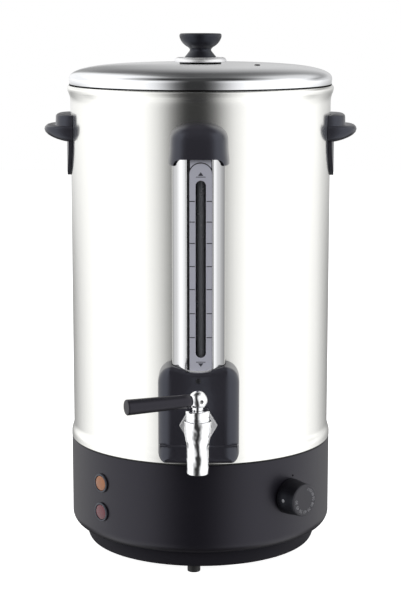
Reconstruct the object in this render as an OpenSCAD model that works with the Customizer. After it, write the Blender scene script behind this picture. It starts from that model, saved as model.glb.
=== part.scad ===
// Hot water urn: a stainless tank on a black electric base, with a sight gauge and a lever tap.
// Millimetres, +Z up, front towards -Y. The origin is on the tank's axis, on the resting plane.

/* [Tank] */
// Outside diameter of the steel tank wall
tank_d = 270; // [230:1:324]
// Thickness of the tank wall
wall_t = 1; // [0.6:0.1:1.5]
// Height of the tank from its foot to the top of the rolled rim
tank_h = 375; // [320:1:450]
// How far the foot of the wall flares out
foot_flare = 2.4; // [1.5:0.1:4]
// Height of the flared foot
flare_h = 16; // [12:1:20]
// How far the rolled rim stands out
rim_out = 3.1; // [2.5:0.1:3.6]
// Height of the rolled rim
rim_roll = 9; // [7:0.5:10]
// Height of the tank floor above the foot of the wall
floor_rise = 24; // [20:1:30]
// Thickness of the tank floor
floor_t = 1; // [0.8:0.1:1.5]

/* [Base] */
// Height of the rubber feet
foot_h = 8.5; // [6:0.5:12]
// Diameter of a rubber foot
foot_d = 13.3; // [10:0.1:18]
// Turn of the ring of feet about the tank axis, in degrees
foot_turn = -3; // [-10:1:10]
// Height of the set-in plinth
plinth_h = 15; // [12:1:20]
// How far the plinth is set in from the housing
plinth_inset = 15.8; // [12:0.2:20]
// Height of the base housing
base_h = 90.7; // [85:0.1:120]
// Thickness of the base housing
base_wall = 2.5; // [2:0.1:4]
// Radius of the housing's lower edge
base_edge_r = 8; // [4:0.5:9]
// Thickness of the seal between housing and tank
gasket_t = 1.8; // [1:0.1:3]
// Thickness of the bottom plate
pan_t = 2; // [1.5:0.1:3]

/* [Controls] */
// Azimuth of the dial from the front, to the right, in degrees
dial_az = 42; // [30:1:60]
// Height of the dial's axis above the housing's lower edge
dial_rise = 55.5; // [50:0.5:60]
// Diameter of the dial's skirt
dial_skirt_d = 36.5; // [30:0.5:44]
// Diameter of the dial's grip
dial_grip_d = 33; // [28:0.5:36]
// How far the dial stands out
dial_depth = 22; // [16:0.5:28]
// Azimuth of the two lamps from the front, in degrees
lamp_az = -47; // [-60:1:-35]
// Height of the upper lamp above the housing's lower edge
lamp_high = 65.9; // [60:0.1:68]
// Height of the lower lamp above the housing's lower edge
lamp_low = 35.3; // [25:0.1:40]
// Diameter of a lamp's lens
lamp_d = 15.6; // [12:0.1:18]
// Diameter of a lamp's bezel
bezel_d = 20; // [19:0.1:24]

/* [Lid] */
// Height of the lid's crown above its widest line
crown_h = 16; // [12:0.5:24]
// Height of the lid's turned-down edge
lid_edge_h = 5.6; // [4:0.1:8]
// Thickness of the lid's steel
lid_t = 0.8; // [0.6:0.1:1.2]
// Depth of the ring that centres the lid in the tank
lid_ring_h = 15; // [10:1:25]
// Diameter of the knob's top
knob_d = 43.6; // [36:0.2:50]
// Height of the knob
knob_h = 24.3; // [20:0.1:30]
// Diameter of the steel boss under the knob
boss_d = 54; // [44:1:60]
// Height of the steel boss
boss_h = 6; // [4:0.5:8]
// Diameter of the vent hole in the lid
vent_d = 5; // [3:0.5:8]

/* [Handles] */
// Width of a handle around the tank
handle_w = 84; // [70:1:100]
// Height of a handle's block
handle_h = 27; // [24:1:34]
// How far the block stands out from the tank wall
handle_block = 15.5; // [14:0.5:20]
// How far the grip shelf stands out from the tank wall
handle_reach = 27; // [25:0.5:32]
// Thickness of the grip shelf
shelf_h = 12; // [10:0.5:14]
// Length of the tongue below the block
tongue_h = 37; // [25:1:50]
// Width of the tongue at the block
tongue_w = 64; // [50:1:70]
// Depth of the handle's top below the rim
handle_drop = 30; // [26:1:50]

/* [Gauge] */
// Width of the bright channel
channel_w = 52; // [50:1:56]
// How far the channel stands out from the tank wall
channel_depth = 26.5; // [26:0.1:32]
// Width of the scale panel
panel_w = 21.8; // [20:0.1:23]
// Sideways place of the panel's centre
gauge_shift = 2.2; // [0:0.1:2.4]
// Width of the slot in the panel
slot_w = 9.9; // [9:0.1:11]
// Outside diameter of the sight tube
tube_d = 9; // [8:0.1:9.4]
// Width of the cap over the top of the gauge
cap_w = 59; // [57:0.5:64]
// Height of the cap over the top of the gauge
cap_h = 40; // [36:0.5:48]

/* [Tap] */
// Width of the tap housing
housing_w = 80; // [74:1:90]
// Height of the tap housing to its two peaks
housing_h = 101.5; // [98:0.5:110]
// Height of the tap's inlet above the foot of the tank
inlet_rise = 54; // [53:0.1:65]
// Diameter of the threaded shank
shank_d = 20.8; // [18:0.1:21]
// Distance of the spout's axis from the tank wall
tap_reach = 77; // [70:1:90]
// Outside diameter of the spout
spout_d = 21.2; // [20.5:0.1:24]
// Bore of the spout
spout_bore = 15; // [12:0.5:15]
// Distance from the inlet's axis down to the spout's end
spout_drop = 37; // [34:1:44]
// Diameter of the lever's ball
ball_d = 16.8; // [16:0.1:19]
// Distance from the ball's centre to the end of the lever
lever_len = 73; // [60:1:90]
// Diameter of the lever at its free end
lever_d = 15; // [13:0.5:18]
// Heading of the lever at rest, anticlockwise from +X, in degrees
lever_turn = 205; // [185:1:240]
// How far the lever lifts, in degrees
lever_swing = 40; // [25:1:42]

/* [Hidden] */
// Facets around walls, discs, bodies, small parts, screws and pins
wall_facets = 128;
disc_facets = 96;
body_facets = 64;
part_facets = 48;
screw_facets = 32;
pin_facets = 24;
$fn = body_facets;

// Tones that several pieces share, as seen in the preview
black_tone = [0.2, 0.2, 0.22];
base_tone = [0.16, 0.16, 0.17];

// Clearances: a fixed fit, a turning or sliding fit, and pieces that lift apart
fit = 0.15;
run = 0.05;
lift_gap = 0.3;
over = 1;
seat_gap = 0.1;
blade_gap = 0.6;
// Length of a cutting tool for a hole through a wall, and how far inside the tank a screw hole starts
cutter = 20;
screw_entry = 5;

// Tank levels and radii
tank_r = tank_d / 2;
bore_r = tank_r - wall_t;
base_z = foot_h + plinth_h;
ledge_z = base_z + base_h;
tank_z = ledge_z + gasket_t;
rim_z = tank_z + tank_h;
floor_z = tank_z + floor_rise;
floor_under = floor_z - floor_t;
shoulder_h = rim_roll + 8;

// Base radii
base_r = tank_r + 2.2;
base_in = base_r - base_wall;
pan_r = base_r - plinth_inset;
pan_slope = 1.8;
ledge_in = tank_r - 6;
flange_in = tank_r - 31;
pan_top = foot_h + pan_t;
boss_ring = tank_r - 25;
boss_r = 5;
screw_r = 1.95;
screw_len = 12;
foot_ring = tank_r - 30;
foot_neck_r = 2.5;

// Heater under the tank floor
plate_r = tank_r - 50;
plate_t = 6;
plate_z = floor_under - plate_t;
element_ring = plate_r - 23;
element_r = 4;
element_z = plate_z - element_r - fit;
element_gap = 40;
leg_len = 29;
rod_ring = tank_r - 40;
rod_r = 3;
rod_turn = 22.5;
nut_h = 4.5;
shield_z = tank_z - 3;
shield_r = tank_r - 30;
shield_t = 0.8;
shield_lip = 8;
bulb_r = 3;
capillary_r = 0.9;
bulb_z = plate_z - bulb_r - fit;
bulb_drop = [45, -58];

// Controls
dial_z = base_z + dial_rise;
lamp_z = [base_z + lamp_low, base_z + lamp_high];
stat_face = base_in - 1.7;
stat_w = 38;
stat_depth = 30;
bush_r = 5;
shaft_r = 3;
shaft_in = 14;
skirt_gap = 0.8;
skirt_t = 5;
barrel_r = lamp_d / 2 + 0.6;
barrel_len = 9;
bezel_t = 2;
lens_seat = 0.8;
holder_seat = 5.2;
lens_dome = 1.4;
holder_len = 22;
cutout_xy = [0, 45];
cutout_size = [28, 24, 22];
button_r = 3;
button_travel = 2;
block_xy = [-45, 15];
block_size = [40, 18, 14];

// Mains inlet at the back
inlet_z = base_z + 36.5;
pad_w = 60;
pad_h = 38;
pad_y = base_r + 1.8;
inlet_w = 27.4;
inlet_h = 20.4;
inlet_depth = 24;
inlet_flange = [52, 26, 3];
inlet_wall = 1.6;
socket_depth = 17;
inlet_pitch = 40;
pin_size = [2, 4];
pin_gap = 7;
tab_len = 7;

// Lid
lid_r = tank_r + 1.2;
lid_low = rim_z + lift_gap;
lid_wide = lid_low + lid_edge_h;
crown_z = lid_wide + crown_h;
crown_steps = 28;
ring_r = tank_r - 3.2;
vent_xy = [58, -40];
knob_z = crown_z + boss_h;
knob_screw_r = 2.5;
boss_round = 3;

// Handles
handle_z = rim_z - handle_drop;
block_z = handle_z - handle_h;
shelf_z = block_z + 3;
handle_fit = tank_r + lift_gap;
pocket_x = tank_r + 6;
pocket_len = handle_reach - 12;
pocket_w = handle_w - 24;
pocket_up = shelf_h - 3.5;
tongue_t = 3.5;
hscrew_r = 2.5;
hscrew_az = 9.3;
hscrew_z = handle_z - 8;
hscrew_len = 12;

// Gauge, from the tank wall forwards
gauge_front = -(tank_r + channel_depth);
channel_back = -sqrt(tank_r * tank_r - channel_w * channel_w / 4) - 0.5;
channel_t = 1;
opening_x = [gauge_shift - panel_w / 2 - 2.6, gauge_shift + panel_w / 2 + 0.5];
cap_z = handle_z;
cap_low = cap_z - cap_h;
channel_top = cap_z - 15;
housing_z = tank_z + 12;
peak_z = housing_z + housing_h;
housing_front = gauge_front - 3;
housing_wall = 2.5;
housing_corner = 8;
housing_side_r = 15;
peak_r = 20;
cap_side_r = 14;
cap_dome = 18;
notch_z = peak_z - 9.5;
channel_low = peak_z - 22;
panel_front = gauge_front + 0.8;
panel_t = 2.6;
panel_low = peak_z - 23;
panel_top = cap_low + 3;
slot_z = [peak_z + 5, cap_low - 13.5];
tube_r = tube_d / 2;
tube_wall = 1;
tube_y = -(tank_r + 14.5);
inlet_axis = tank_z + inlet_rise;
barrel_out = 13.5;
riser_r = 7.5;
riser_top = inlet_axis + 26;
tube_low = riser_top - 10;
tube_top = channel_top - 6;
seal_h = 3;
seal_wall = 2.1;
gland_h = 8;
gland_af = 15;
washer_t = 1.8;
cscrew_r = 2;
cscrew_z = cap_z - 8;
hs_z = peak_z - 17;
hs_r = 1.5;

// Tap
tap_y = -(tank_r + tap_reach);
shank_r = shank_d / 2;
shank_bore = 7;
shank_inside = 18;
backnut_af = 27;
seat_over = 1.5;
hexnut_af = 32;
hexnut_h = 7;
backnut_h = 8;
spout_z = inlet_axis - spout_drop;
seat_z = inlet_axis - 12;
seat_r = 6;
chamber_r = 8.5;
collar_z = inlet_axis + 14.8;
collar_r = 13;
bonnet_h = 10;
bonnet_r = 11.5;
bonnet_z = collar_z + 0.2;
bonnet_top = bonnet_z + bonnet_h;
plug_len = 7;
stem_r = 3;
ball_r = ball_d / 2;
ball_flat = 6;
thrust_t = 3;
ball_z = bonnet_top + thrust_t + lift_gap * 2 + ball_flat;
seat_t = 4.7;
stem_flange_z = seat_z + lift_gap + seat_t;
stem_flange_t = 2.5;
blade_t = 4;
blade_w = 6;
eye_r = 4.2;
pin_r = 2;
pin_len = 11;
lever_root_r = 6.3;
spring_r = 4.8;
spring_wire = 0.5;
spring_turns = 5;

// ---------- Shared shapes ----------

// Points of an arc about [cx, cy]
function arc(cx, cy, r, a0, a1, n) =
    [for (i = [0:n]) [cx + r * cos(a0 + (a1 - a0) * i / n), cy + r * sin(a0 + (a1 - a0) * i / n)]];

// Height of the lid's crown at a radius, from a flattened dome
function crown(r, top, h, wide_r) = top - h + h * pow(max(0, 1 - pow(r / wide_r, 4)), 0.4);

// Rectangle with round corners, centred
module rounded(w, h, r) {
    square([w - 2 * r, h], center = true);
    square([w, h - 2 * r], center = true);
    for (x = [-1, 1], y = [-1, 1])
        translate([x * (w / 2 - r), y * (h / 2 - r)])
            circle(r = r);
}

// Places its children on the body's side: local +Z points outwards at an azimuth from the front
module outward(az, r, z) {
    rotate([0, 0, az - 90])
        translate([r, 0, z])
            rotate([0, 90, 0])
                children();
}

// Places its children at the points of a ring
module ring_of(count, r, turn) {
    for (i = [0:count - 1])
        rotate([0, 0, turn + i * 360 / count])
            translate([r, 0, 0])
                children();
}

// Rod from one point to another
module rod_between(a, b, r) {
    d = b - a;
    translate(a)
        rotate([0, acos(d[2] / norm(d)), atan2(d[1], d[0])])
            cylinder(h = norm(d), r = r, $fn = 16);
}

// Heading of the route at its point i
function heading(p, i) =
    let (d = p[min(i + 1, len(p) - 1)] - p[max(i - 1, 0)]) d / norm(d);

// Point of a smooth curve through the route's points, at t from 0 to the last index
function on_route(p, t) =
    let (i = min(floor(t), len(p) - 2), u = t - i, size = norm(p[i + 1] - p[i]),
         v = u * u, w = v * u)
    (2 * w - 3 * v + 1) * p[i] + (w - 2 * v + u) * size * heading(p, i)
    + (3 * v - 2 * w) * p[i + 1] + (w - v) * size * heading(p, i + 1);

// Lead along a route: one eight-sided tube
module lead(route, r) {
    steps = 6 * (len(route) - 1);
    at = [for (i = [0:steps]) on_route(route, i * (len(route) - 1) / steps)];
    rings = [for (i = [0:steps])
        let (w = i == 0 || i == steps ? heading(route, i / 6) : heading(at, i),
             side = cross(w, [0.31, 0.93, 0.2]), u = side / norm(side), v = cross(w, u))
        [for (k = [0:7]) at[i] + r * cos(45 * k) * u + r * sin(45 * k) * v]];
    polyhedron([for (ring = rings) each ring], tube_faces(steps), convexity = 6);
}

// Faces of an eight-sided tube with a number of steps
function tube_faces(steps) = concat(
    [for (i = [0:steps - 1], k = [0:7])
        [8 * i + k, 8 * i + (k + 1) % 8, 8 * (i + 1) + (k + 1) % 8, 8 * (i + 1) + k]],
    [[for (k = [7:-1:0]) k]], [[for (k = [0:7]) 8 * steps + k]]);

// Hexagonal prism with its corners towards +X and -X
module hexagon(af, h) {
    cylinder(h = h, r = af / sqrt(3), $fn = 6);
}

// Pan-head screw: head below z = 0, shank above
module screw(r, length, head_r, head_h) {
    cylinder(h = length, r = r);
    translate([0, 0, -head_h])
        cylinder(h = head_h, r = head_r);
}

// ---------- Tank ----------

module wall_outline() {
    z1 = tank_z + flare_h;
    half = rim_roll / 2;
    inset = 0.6;
    polygon(concat(
        [[tank_r + foot_flare - wall_t, tank_z],
         [tank_r + foot_flare, tank_z],
         [tank_r + foot_flare, tank_z + flare_h / 4],
         [tank_r + foot_flare * 0.8, tank_z + flare_h * 0.53],
         [tank_r + foot_flare * 0.4, tank_z + flare_h * 0.72],
         [tank_r, z1],
         [tank_r, rim_z - shoulder_h],
         [tank_r + rim_out * 0.2, rim_z - shoulder_h + 3],
         [tank_r + rim_out * 0.42, rim_z - rim_roll - 1.5]],
        [for (a = [-60:15:90])
            [tank_r - inset + (rim_out + inset) * cos(a), rim_z - half + half * sin(a)]],
        [[bore_r, rim_z - 0.4], [bore_r, z1],
         [tank_r + foot_flare - wall_t, tank_z + flare_h / 4]]
    ));
}

module tank_shell() {
    color("gainsboro")
        difference() {
            rotate_extrude($fn = wall_facets)
                wall_outline();
            outward(0, bore_r - cutter / 2, inlet_axis)
                cylinder(h = cutter, r = shank_r + 2 * fit);
            outward(0, bore_r - cutter / 2, cscrew_z)
                cylinder(h = cutter, r = cscrew_r + fit);
            for (side = [-90, 90], turn = [-hscrew_az, hscrew_az])
                outward(side + turn, bore_r - cutter / 2, hscrew_z)
                    cylinder(h = cutter, r = hscrew_r + fit);
        }
}

module tank_floor() {
    flange_r = bore_r - fit;
    color("silver")
        rotate_extrude($fn = wall_facets)
            polygon([
                [0, floor_under], [flange_r - floor_t, floor_under],
                [flange_r - floor_t, tank_z + flare_h - over],
                [flange_r, tank_z + flare_h - over],
                [flange_r, floor_z], [0, floor_z]
            ]);
}

// ---------- Heater ----------

module heat_plate() {
    color("darkgray")
        translate([0, 0, plate_z])
            cylinder(h = plate_t, r = plate_r, $fn = disc_facets);
}

module heating_element() {
    start = 90 + element_gap / 2;
    color("dimgray") {
        rotate([0, 0, start])
            translate([0, 0, element_z])
                rotate_extrude(angle = 360 - element_gap, $fn = disc_facets)
                    translate([element_ring, 0])
                        circle(r = element_r, $fn = pin_facets);
        for (a = [start, start - element_gap])
            rotate([0, 0, a])
                translate([element_ring, 0, element_z]) {
                    sphere(r = element_r, $fn = pin_facets);
                    translate([0, 0, -leg_len])
                        cylinder(h = leg_len, r = element_r, $fn = pin_facets);
                }
    }
}

module heat_shield() {
    leg_turn = 90 - element_gap / 2;
    color("silver")
        difference() {
            rotate_extrude($fn = disc_facets)
                polygon([
                    [0, shield_z], [shield_r, shield_z], [shield_r, shield_z + shield_lip],
                    [shield_r - shield_t, shield_z + shield_lip],
                    [shield_r - shield_t, shield_z + shield_t], [0, shield_z + shield_t]
                ]);
            translate([0, 0, shield_z - over]) {
                ring_of(4, rod_ring, rod_turn)
                    cylinder(h = 4, r = rod_r + fit);
                for (a = [leg_turn, leg_turn + element_gap])
                    rotate([0, 0, a])
                        translate([element_ring, 0, 0])
                            cylinder(h = 4, r = element_r + 2);
                translate([bulb_drop[0], bulb_drop[1], 0])
                    cylinder(h = 4, r = 2);
                translate([cutout_xy[0], cutout_xy[1], 0])
                    cylinder(h = 4, r = 2);
            }
        }
}

module thermostat_bulbs() {
    color("peru") {
        rod_between([30, -30, bulb_z], [30, 30, bulb_z], bulb_r);
        rod_between([-10, cutout_xy[1], bulb_z], [20, cutout_xy[1], bulb_z], bulb_r);
    }
}

module capillary_tubes() {
    stat_rear = stat_face - stat_depth - fit;
    rear = [stat_rear * sin(dial_az), -stat_rear * cos(dial_az)];
    cutout_top = pan_top + cutout_size[2] + fit;
    start = -30 - fit;
    color("chocolate") {
        lead([[30, start, bulb_z], [30, start - 3, bulb_z], [30, -40, bulb_z - 6],
              [bulb_drop[0], bulb_drop[1], bulb_z - 16], [bulb_drop[0], bulb_drop[1], dial_z + 14],
              [rear[0] - 4, rear[1] + 4, dial_z + 2], [rear[0], rear[1], dial_z]], capillary_r);
        lead([[-10 - fit, cutout_xy[1], bulb_z], [-13, cutout_xy[1], bulb_z],
              [-14, cutout_xy[1], bulb_z - 5], [cutout_xy[0], cutout_xy[1], bulb_z - 16],
              [cutout_xy[0], cutout_xy[1], 60], [cutout_xy[0], cutout_xy[1], cutout_top]],
             capillary_r);
    }
}

module keep_warm_thermostat() {
    cap_t = 3;
    body_t = 9;
    color("saddlebrown")
        translate([0, 0, plate_z - cap_t - body_t])
            cylinder(h = body_t, r = 7, $fn = screw_facets);
    color("silver")
        translate([0, 0, plate_z - cap_t])
            cylinder(h = cap_t, r = 8.5, $fn = screw_facets);
}

module tie_rods() {
    bottom = foot_h - nut_h;
    color("silver")
        ring_of(4, rod_ring, rod_turn) {
            translate([0, 0, bottom])
                cylinder(h = floor_under - bottom, r = rod_r, $fn = pin_facets);
            translate([0, 0, bottom])
                hexagon(10, nut_h);
            translate([0, 0, shield_z - nut_h])
                hexagon(10, nut_h);
        }
}

// ---------- Base ----------

module base_gasket() {
    color("black")
        translate([0, 0, ledge_z])
            difference() {
                cylinder(h = gasket_t, r = tank_r + 2, $fn = wall_facets);
                translate([0, 0, -over])
                    cylinder(h = gasket_t + 2 * over, r = ledge_in + 1, $fn = wall_facets);
            }
}

module housing_outline() {
    polygon(concat(
        [[flange_in, base_z]],
        arc(base_r - base_edge_r, base_z + base_edge_r, base_edge_r, -90, 0, 8),
        [[base_r, ledge_z - 1], [base_r - 1, ledge_z], [ledge_in, ledge_z],
         [ledge_in, ledge_z - base_wall], [base_in, ledge_z - base_wall],
         [base_in, base_z + base_edge_r]],
        arc(base_r - base_edge_r, base_z + base_edge_r, base_edge_r - base_wall, 0, -90, 8),
        [[flange_in, base_z + base_wall]]
    ));
}

module base_housing() {
    color(black_tone)
        difference() {
            union() {
                rotate_extrude($fn = wall_facets)
                    housing_outline();
                translate([0, pad_y, inlet_z])
                    rotate([90, 0, 0])
                        linear_extrude(height = 7)
                            rounded(pad_w, pad_h, 4);
                ring_of(4, boss_ring, 45)
                    translate([0, 0, pan_top])
                        cylinder(h = base_z + base_wall - pan_top, r = boss_r, $fn = screw_facets);
            }
            ring_of(4, boss_ring, 45)
                translate([0, 0, foot_h])
                    cylinder(h = screw_len + 2, r = screw_r + run, $fn = screw_facets);
            for (z = lamp_z)
                outward(lamp_az, base_in - cutter / 2 + 2, z)
                    cylinder(h = cutter, r = barrel_r + fit);
            outward(dial_az, base_in - cutter / 2 + 2, dial_z)
                cylinder(h = cutter, r = bush_r + fit);
            translate([0, base_r, inlet_z])
                cube([inlet_w + 2 * fit, 20, inlet_h + 2 * fit], center = true);
            for (x = [-1, 1])
                translate([x * inlet_pitch / 2, pad_y + over, inlet_z])
                    rotate([90, 0, 0])
                        cylinder(h = cutter, r = hs_r + run, $fn = pin_facets);
        }
}

module bottom_plate() {
    slot_count = 12;
    color(base_tone)
        difference() {
            rotate_extrude($fn = wall_facets)
                polygon([
                    [0, foot_h], [pan_r - pan_slope, foot_h], [pan_r, base_z],
                    [pan_r - pan_t, base_z], [pan_r - pan_slope - pan_t, pan_top], [0, pan_top]
                ]);
            translate([0, 0, foot_h - over]) {
                ring_of(4, foot_ring, foot_turn)
                    cylinder(h = 5, r = foot_neck_r + seat_gap, $fn = pin_facets);
                ring_of(4, boss_ring, 45)
                    cylinder(h = 5, r = screw_r + fit, $fn = pin_facets);
                ring_of(4, rod_ring, rod_turn)
                    cylinder(h = 5, r = rod_r + fit, $fn = pin_facets);
                translate([cutout_xy[0], cutout_xy[1], 0])
                    cylinder(h = 5, r = bush_r + fit, $fn = screw_facets);
                ring_of(slot_count, tank_r / 2 + 8, 360 / slot_count / 2)
                    translate([-7, -1.5, 0])
                        cube([14, 3, 5]);
            }
        }
}

module rubber_feet() {
    color([0.1, 0.1, 0.1])
        ring_of(4, foot_ring, foot_turn) {
            cylinder(h = foot_h, r = foot_d / 2, $fn = part_facets);
            cylinder(h = pan_top, r = foot_neck_r, $fn = pin_facets);
            translate([0, 0, pan_top])
                cylinder(h = 2.5, r = foot_neck_r + 1.2, $fn = pin_facets);
        }
}

module base_screws() {
    color("silver")
        ring_of(4, boss_ring, 45)
            translate([0, 0, foot_h])
                screw(screw_r, screw_len, 3.8, 2.4);
}

module terminal_block() {
    poles = 4;
    pitch = block_size[0] / poles;
    color("ivory")
        difference() {
            translate([block_xy[0] - block_size[0] / 2, block_xy[1] - block_size[1] / 2, pan_top])
                cube(block_size);
            for (i = [0:poles - 2])
                translate([block_xy[0] + (i - 1) * pitch - 0.75, block_xy[1] - block_size[1],
                           pan_top + 9])
                    cube([1.5, 2 * block_size[1], 6]);
        }
}

module boil_dry_cutout() {
    low = foot_h - 1.5;
    color([0.25, 0.22, 0.2])
        translate([cutout_xy[0], cutout_xy[1], 0])
            difference() {
                union() {
                    translate([-cutout_size[0] / 2, -cutout_size[1] / 2, pan_top])
                        cube(cutout_size);
                    translate([0, 0, low])
                        cylinder(h = pan_top - low + over, r = bush_r, $fn = screw_facets);
                }
                translate([0, 0, low - over])
                    cylinder(h = 14 + over, r = button_r + run, $fn = part_facets);
            }
}

module reset_button() {
    low = foot_h - 1.5 - button_travel - 1;
    color("firebrick")
        translate([cutout_xy[0], cutout_xy[1], low])
            cylinder(h = 13, r = button_r, $fn = part_facets);
}

// ---------- Thermostat and dial ----------

module control_thermostat() {
    color([0.75, 0.72, 0.65])
        outward(dial_az, stat_face, dial_z)
            difference() {
                union() {
                    translate([-stat_w / 2, -stat_w / 2, -stat_depth])
                        cube([stat_w, stat_w, stat_depth]);
                    cylinder(h = base_r + skirt_gap - stat_face - 0.4, r = bush_r, $fn = part_facets);
                }
                translate([0, 0, -shaft_in - over])
                    cylinder(h = 40, r = shaft_r + run, $fn = part_facets);
            }
}

module dial_shaft() {
    knob_face = base_r + skirt_gap + dial_depth;
    color("silver")
        outward(dial_az, stat_face - shaft_in, dial_z)
            cylinder(h = knob_face - 8 - stat_face + shaft_in, r = shaft_r, $fn = part_facets);
}

module dial_knob() {
    grip_r = dial_grip_d / 2;
    edge = 1.5;
    color([0.17, 0.17, 0.18])
        outward(dial_az, base_r + skirt_gap, dial_z)
            difference() {
                rotate_extrude($fn = disc_facets)
                    polygon(concat(
                        [[0, 0], [dial_skirt_d / 2, 0], [dial_skirt_d / 2, skirt_t - 1],
                         [dial_skirt_d / 2 - 1, skirt_t], [grip_r + 0.3, skirt_t]],
                        arc(grip_r - edge, dial_depth - edge, edge, 0, 90, 4),
                        [[0, dial_depth]]
                    ));
                translate([0, 0, -over])
                    cylinder(h = dial_depth - 7.9 + over, r = shaft_r + run, $fn = part_facets);
            }
}

// ---------- Lamps ----------

module lamp_bezels() {
    color([0.12, 0.12, 0.13])
        for (z = lamp_z)
            outward(lamp_az, base_r, z)
                difference() {
                    union() {
                        translate([0, 0, 0.05])
                            cylinder(h = bezel_t, r = bezel_d / 2, $fn = body_facets);
                        translate([0, 0, -barrel_len])
                            cylinder(h = barrel_len + seat_gap, r = barrel_r, $fn = body_facets);
                    }
                    translate([0, 0, -barrel_len - over])
                        cylinder(h = 30, r = lamp_d / 2, $fn = body_facets);
                }
}

module lens(z, tint) {
    r = lamp_d / 2 - seat_gap;
    ball = (r * r + lens_dome * lens_dome) / (2 * lens_dome);
    color(tint)
        outward(lamp_az, base_r, z) {
            translate([0, 0, -5])
                cylinder(h = 5 + bezel_t - lens_seat, r = r, $fn = body_facets);
            translate([0, 0, bezel_t - lens_seat])
                intersection() {
                    cylinder(h = lens_dome, r = r, $fn = body_facets);
                    translate([0, 0, lens_dome - ball])
                        sphere(r = ball, $fn = disc_facets);
                }
        }
}

module keep_warm_lens() {
    lens(lamp_z[1], [0.8, 0.45, 0.25, 0.9]);
}

module heat_lens() {
    lens(lamp_z[0], [0.5, 0.18, 0.2, 0.9]);
}

module lamp_holders() {
    color("whitesmoke")
        for (z = lamp_z)
            outward(lamp_az, base_r - holder_seat - holder_len, z)
                cylinder(h = holder_len, r = lamp_d / 2 - seat_gap, $fn = part_facets);
}

// ---------- Mains inlet and leads ----------

module mains_inlet() {
    body_in = pad_y - inlet_depth;
    color([0.08, 0.08, 0.08])
        difference() {
            union() {
                translate([0, pad_y + inlet_flange[2], inlet_z])
                    rotate([90, 0, 0])
                        linear_extrude(height = inlet_flange[2])
                            rounded(inlet_flange[0], inlet_flange[1], 4);
                translate([-inlet_w / 2, body_in, inlet_z - inlet_h / 2])
                    cube([inlet_w, inlet_depth + over, inlet_h]);
            }
            translate([0, pad_y + inlet_flange[2] - socket_depth / 2 + over / 2, inlet_z])
                cube([inlet_w - 2 * inlet_wall, socket_depth + over, inlet_h - 2 * inlet_wall],
                     center = true);
            for (x = [-1, 1])
                translate([x * inlet_pitch / 2, pad_y + inlet_flange[2] + over, inlet_z])
                    rotate([90, 0, 0])
                        cylinder(h = 10, r = hs_r + fit, $fn = pin_facets);
            for (i = [-1, 0, 1])
                translate([i * pin_gap, body_in, inlet_z + (i == 0 ? 2 : -2)])
                    cube([pin_size[0] + 0.1, 40, pin_size[1] + 0.1], center = true);
        }
}

module inlet_pins() {
    body_in = pad_y - inlet_depth;
    length = tab_len + inlet_depth - 1;
    color("silver")
        for (i = [-1, 0, 1])
            translate([i * pin_gap, body_in - tab_len + length / 2, inlet_z + (i == 0 ? 2 : -2)])
                cube([pin_size[0], length, pin_size[1]], center = true);
}

module inlet_screws() {
    color("silver")
        for (x = [-1, 1])
            translate([x * inlet_pitch / 2, pad_y + inlet_flange[2], inlet_z])
                rotate([90, 0, 0])
                    screw(hs_r, 8, 2.8, 1.8);
}

module wiring() {
    r = 1.4;
    up = 5;
    tabs_y = pad_y - inlet_depth - tab_len - fit;
    block_top = pan_top + block_size[2] + fit;
    cut_top = pan_top + cutout_size[2] + fit;
    leg_z = element_z - leg_len - fit;
    leg = [element_ring * sin(element_gap / 2), element_ring * cos(element_gap / 2)];
    inwards = [-sin(dial_az), cos(dial_az)];
    stat = (stat_face - stat_depth - fit) * -inwards;
    stat_out = stat + up * inwards;
    lamp_in = [-sin(lamp_az), cos(lamp_az)];
    lamp = (base_r - holder_seat - holder_len - fit) * -lamp_in;
    lamp_out = lamp + up * lamp_in;
    bx = block_xy[0];
    by = block_xy[1];
    cy = cutout_xy[1] + 6;
    color("sienna") {
        lead([[-pin_gap, tabs_y, inlet_z - 2], [-pin_gap, tabs_y - up, inlet_z - 2],
              [-40, 50, 45], [bx + 5, by, block_top + up], [bx + 5, by, block_top]], r);
        lead([[bx + 15, by, block_top], [bx + 15, by, block_top + up], [0, -25, 50],
              [40, -55, dial_z - 16], [stat_out[0], stat_out[1], dial_z - 10],
              [stat[0], stat[1], dial_z - 10]], r);
    }
    color("royalblue") {
        lead([[pin_gap, tabs_y, inlet_z - 2], [pin_gap, tabs_y - up, inlet_z - 2],
              [12, 75, 50], [9, cy, cut_top + up], [9, cy, cut_top]], r);
        lead([[-9, cy, cut_top], [-9, cy, cut_top + up], [-16, 52, 60],
              [-leg[0], leg[1], leg_z - up], [-leg[0], leg[1], leg_z]], r);
    }
    color("seagreen") {
        lead([[bx - 5, by, block_top], [bx - 5, by, block_top + up], [-58, -20, 60],
              [lamp_out[0], lamp_out[1], lamp_z[1]], [lamp[0], lamp[1], lamp_z[1]]], r);
        lead([[bx - 15, by, block_top], [bx - 15, by, block_top + up], [-66, -30, 45],
              [lamp_out[0], lamp_out[1], lamp_z[0]], [lamp[0], lamp[1], lamp_z[0]]], r);
    }
}

// ---------- Handles ----------

module handle_plan(reach, w, r) {
    depth = reach + 25;
    difference() {
        translate([tank_r + reach - depth / 2, 0])
            rounded(depth, w, r);
        circle(r = handle_fit, $fn = wall_facets);
    }
}

module tongue_outline() {
    half = tongue_w / 2;
    top = block_z + 4;
    polygon(concat(
        [[-half, top], [half, top]],
        [for (i = [0:10]) [half * cos(9 * i), block_z - tongue_h * sin(9 * i)]],
        [for (i = [9:-1:0]) [-half * cos(9 * i), block_z - tongue_h * sin(9 * i)]]
    ));
}

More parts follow.
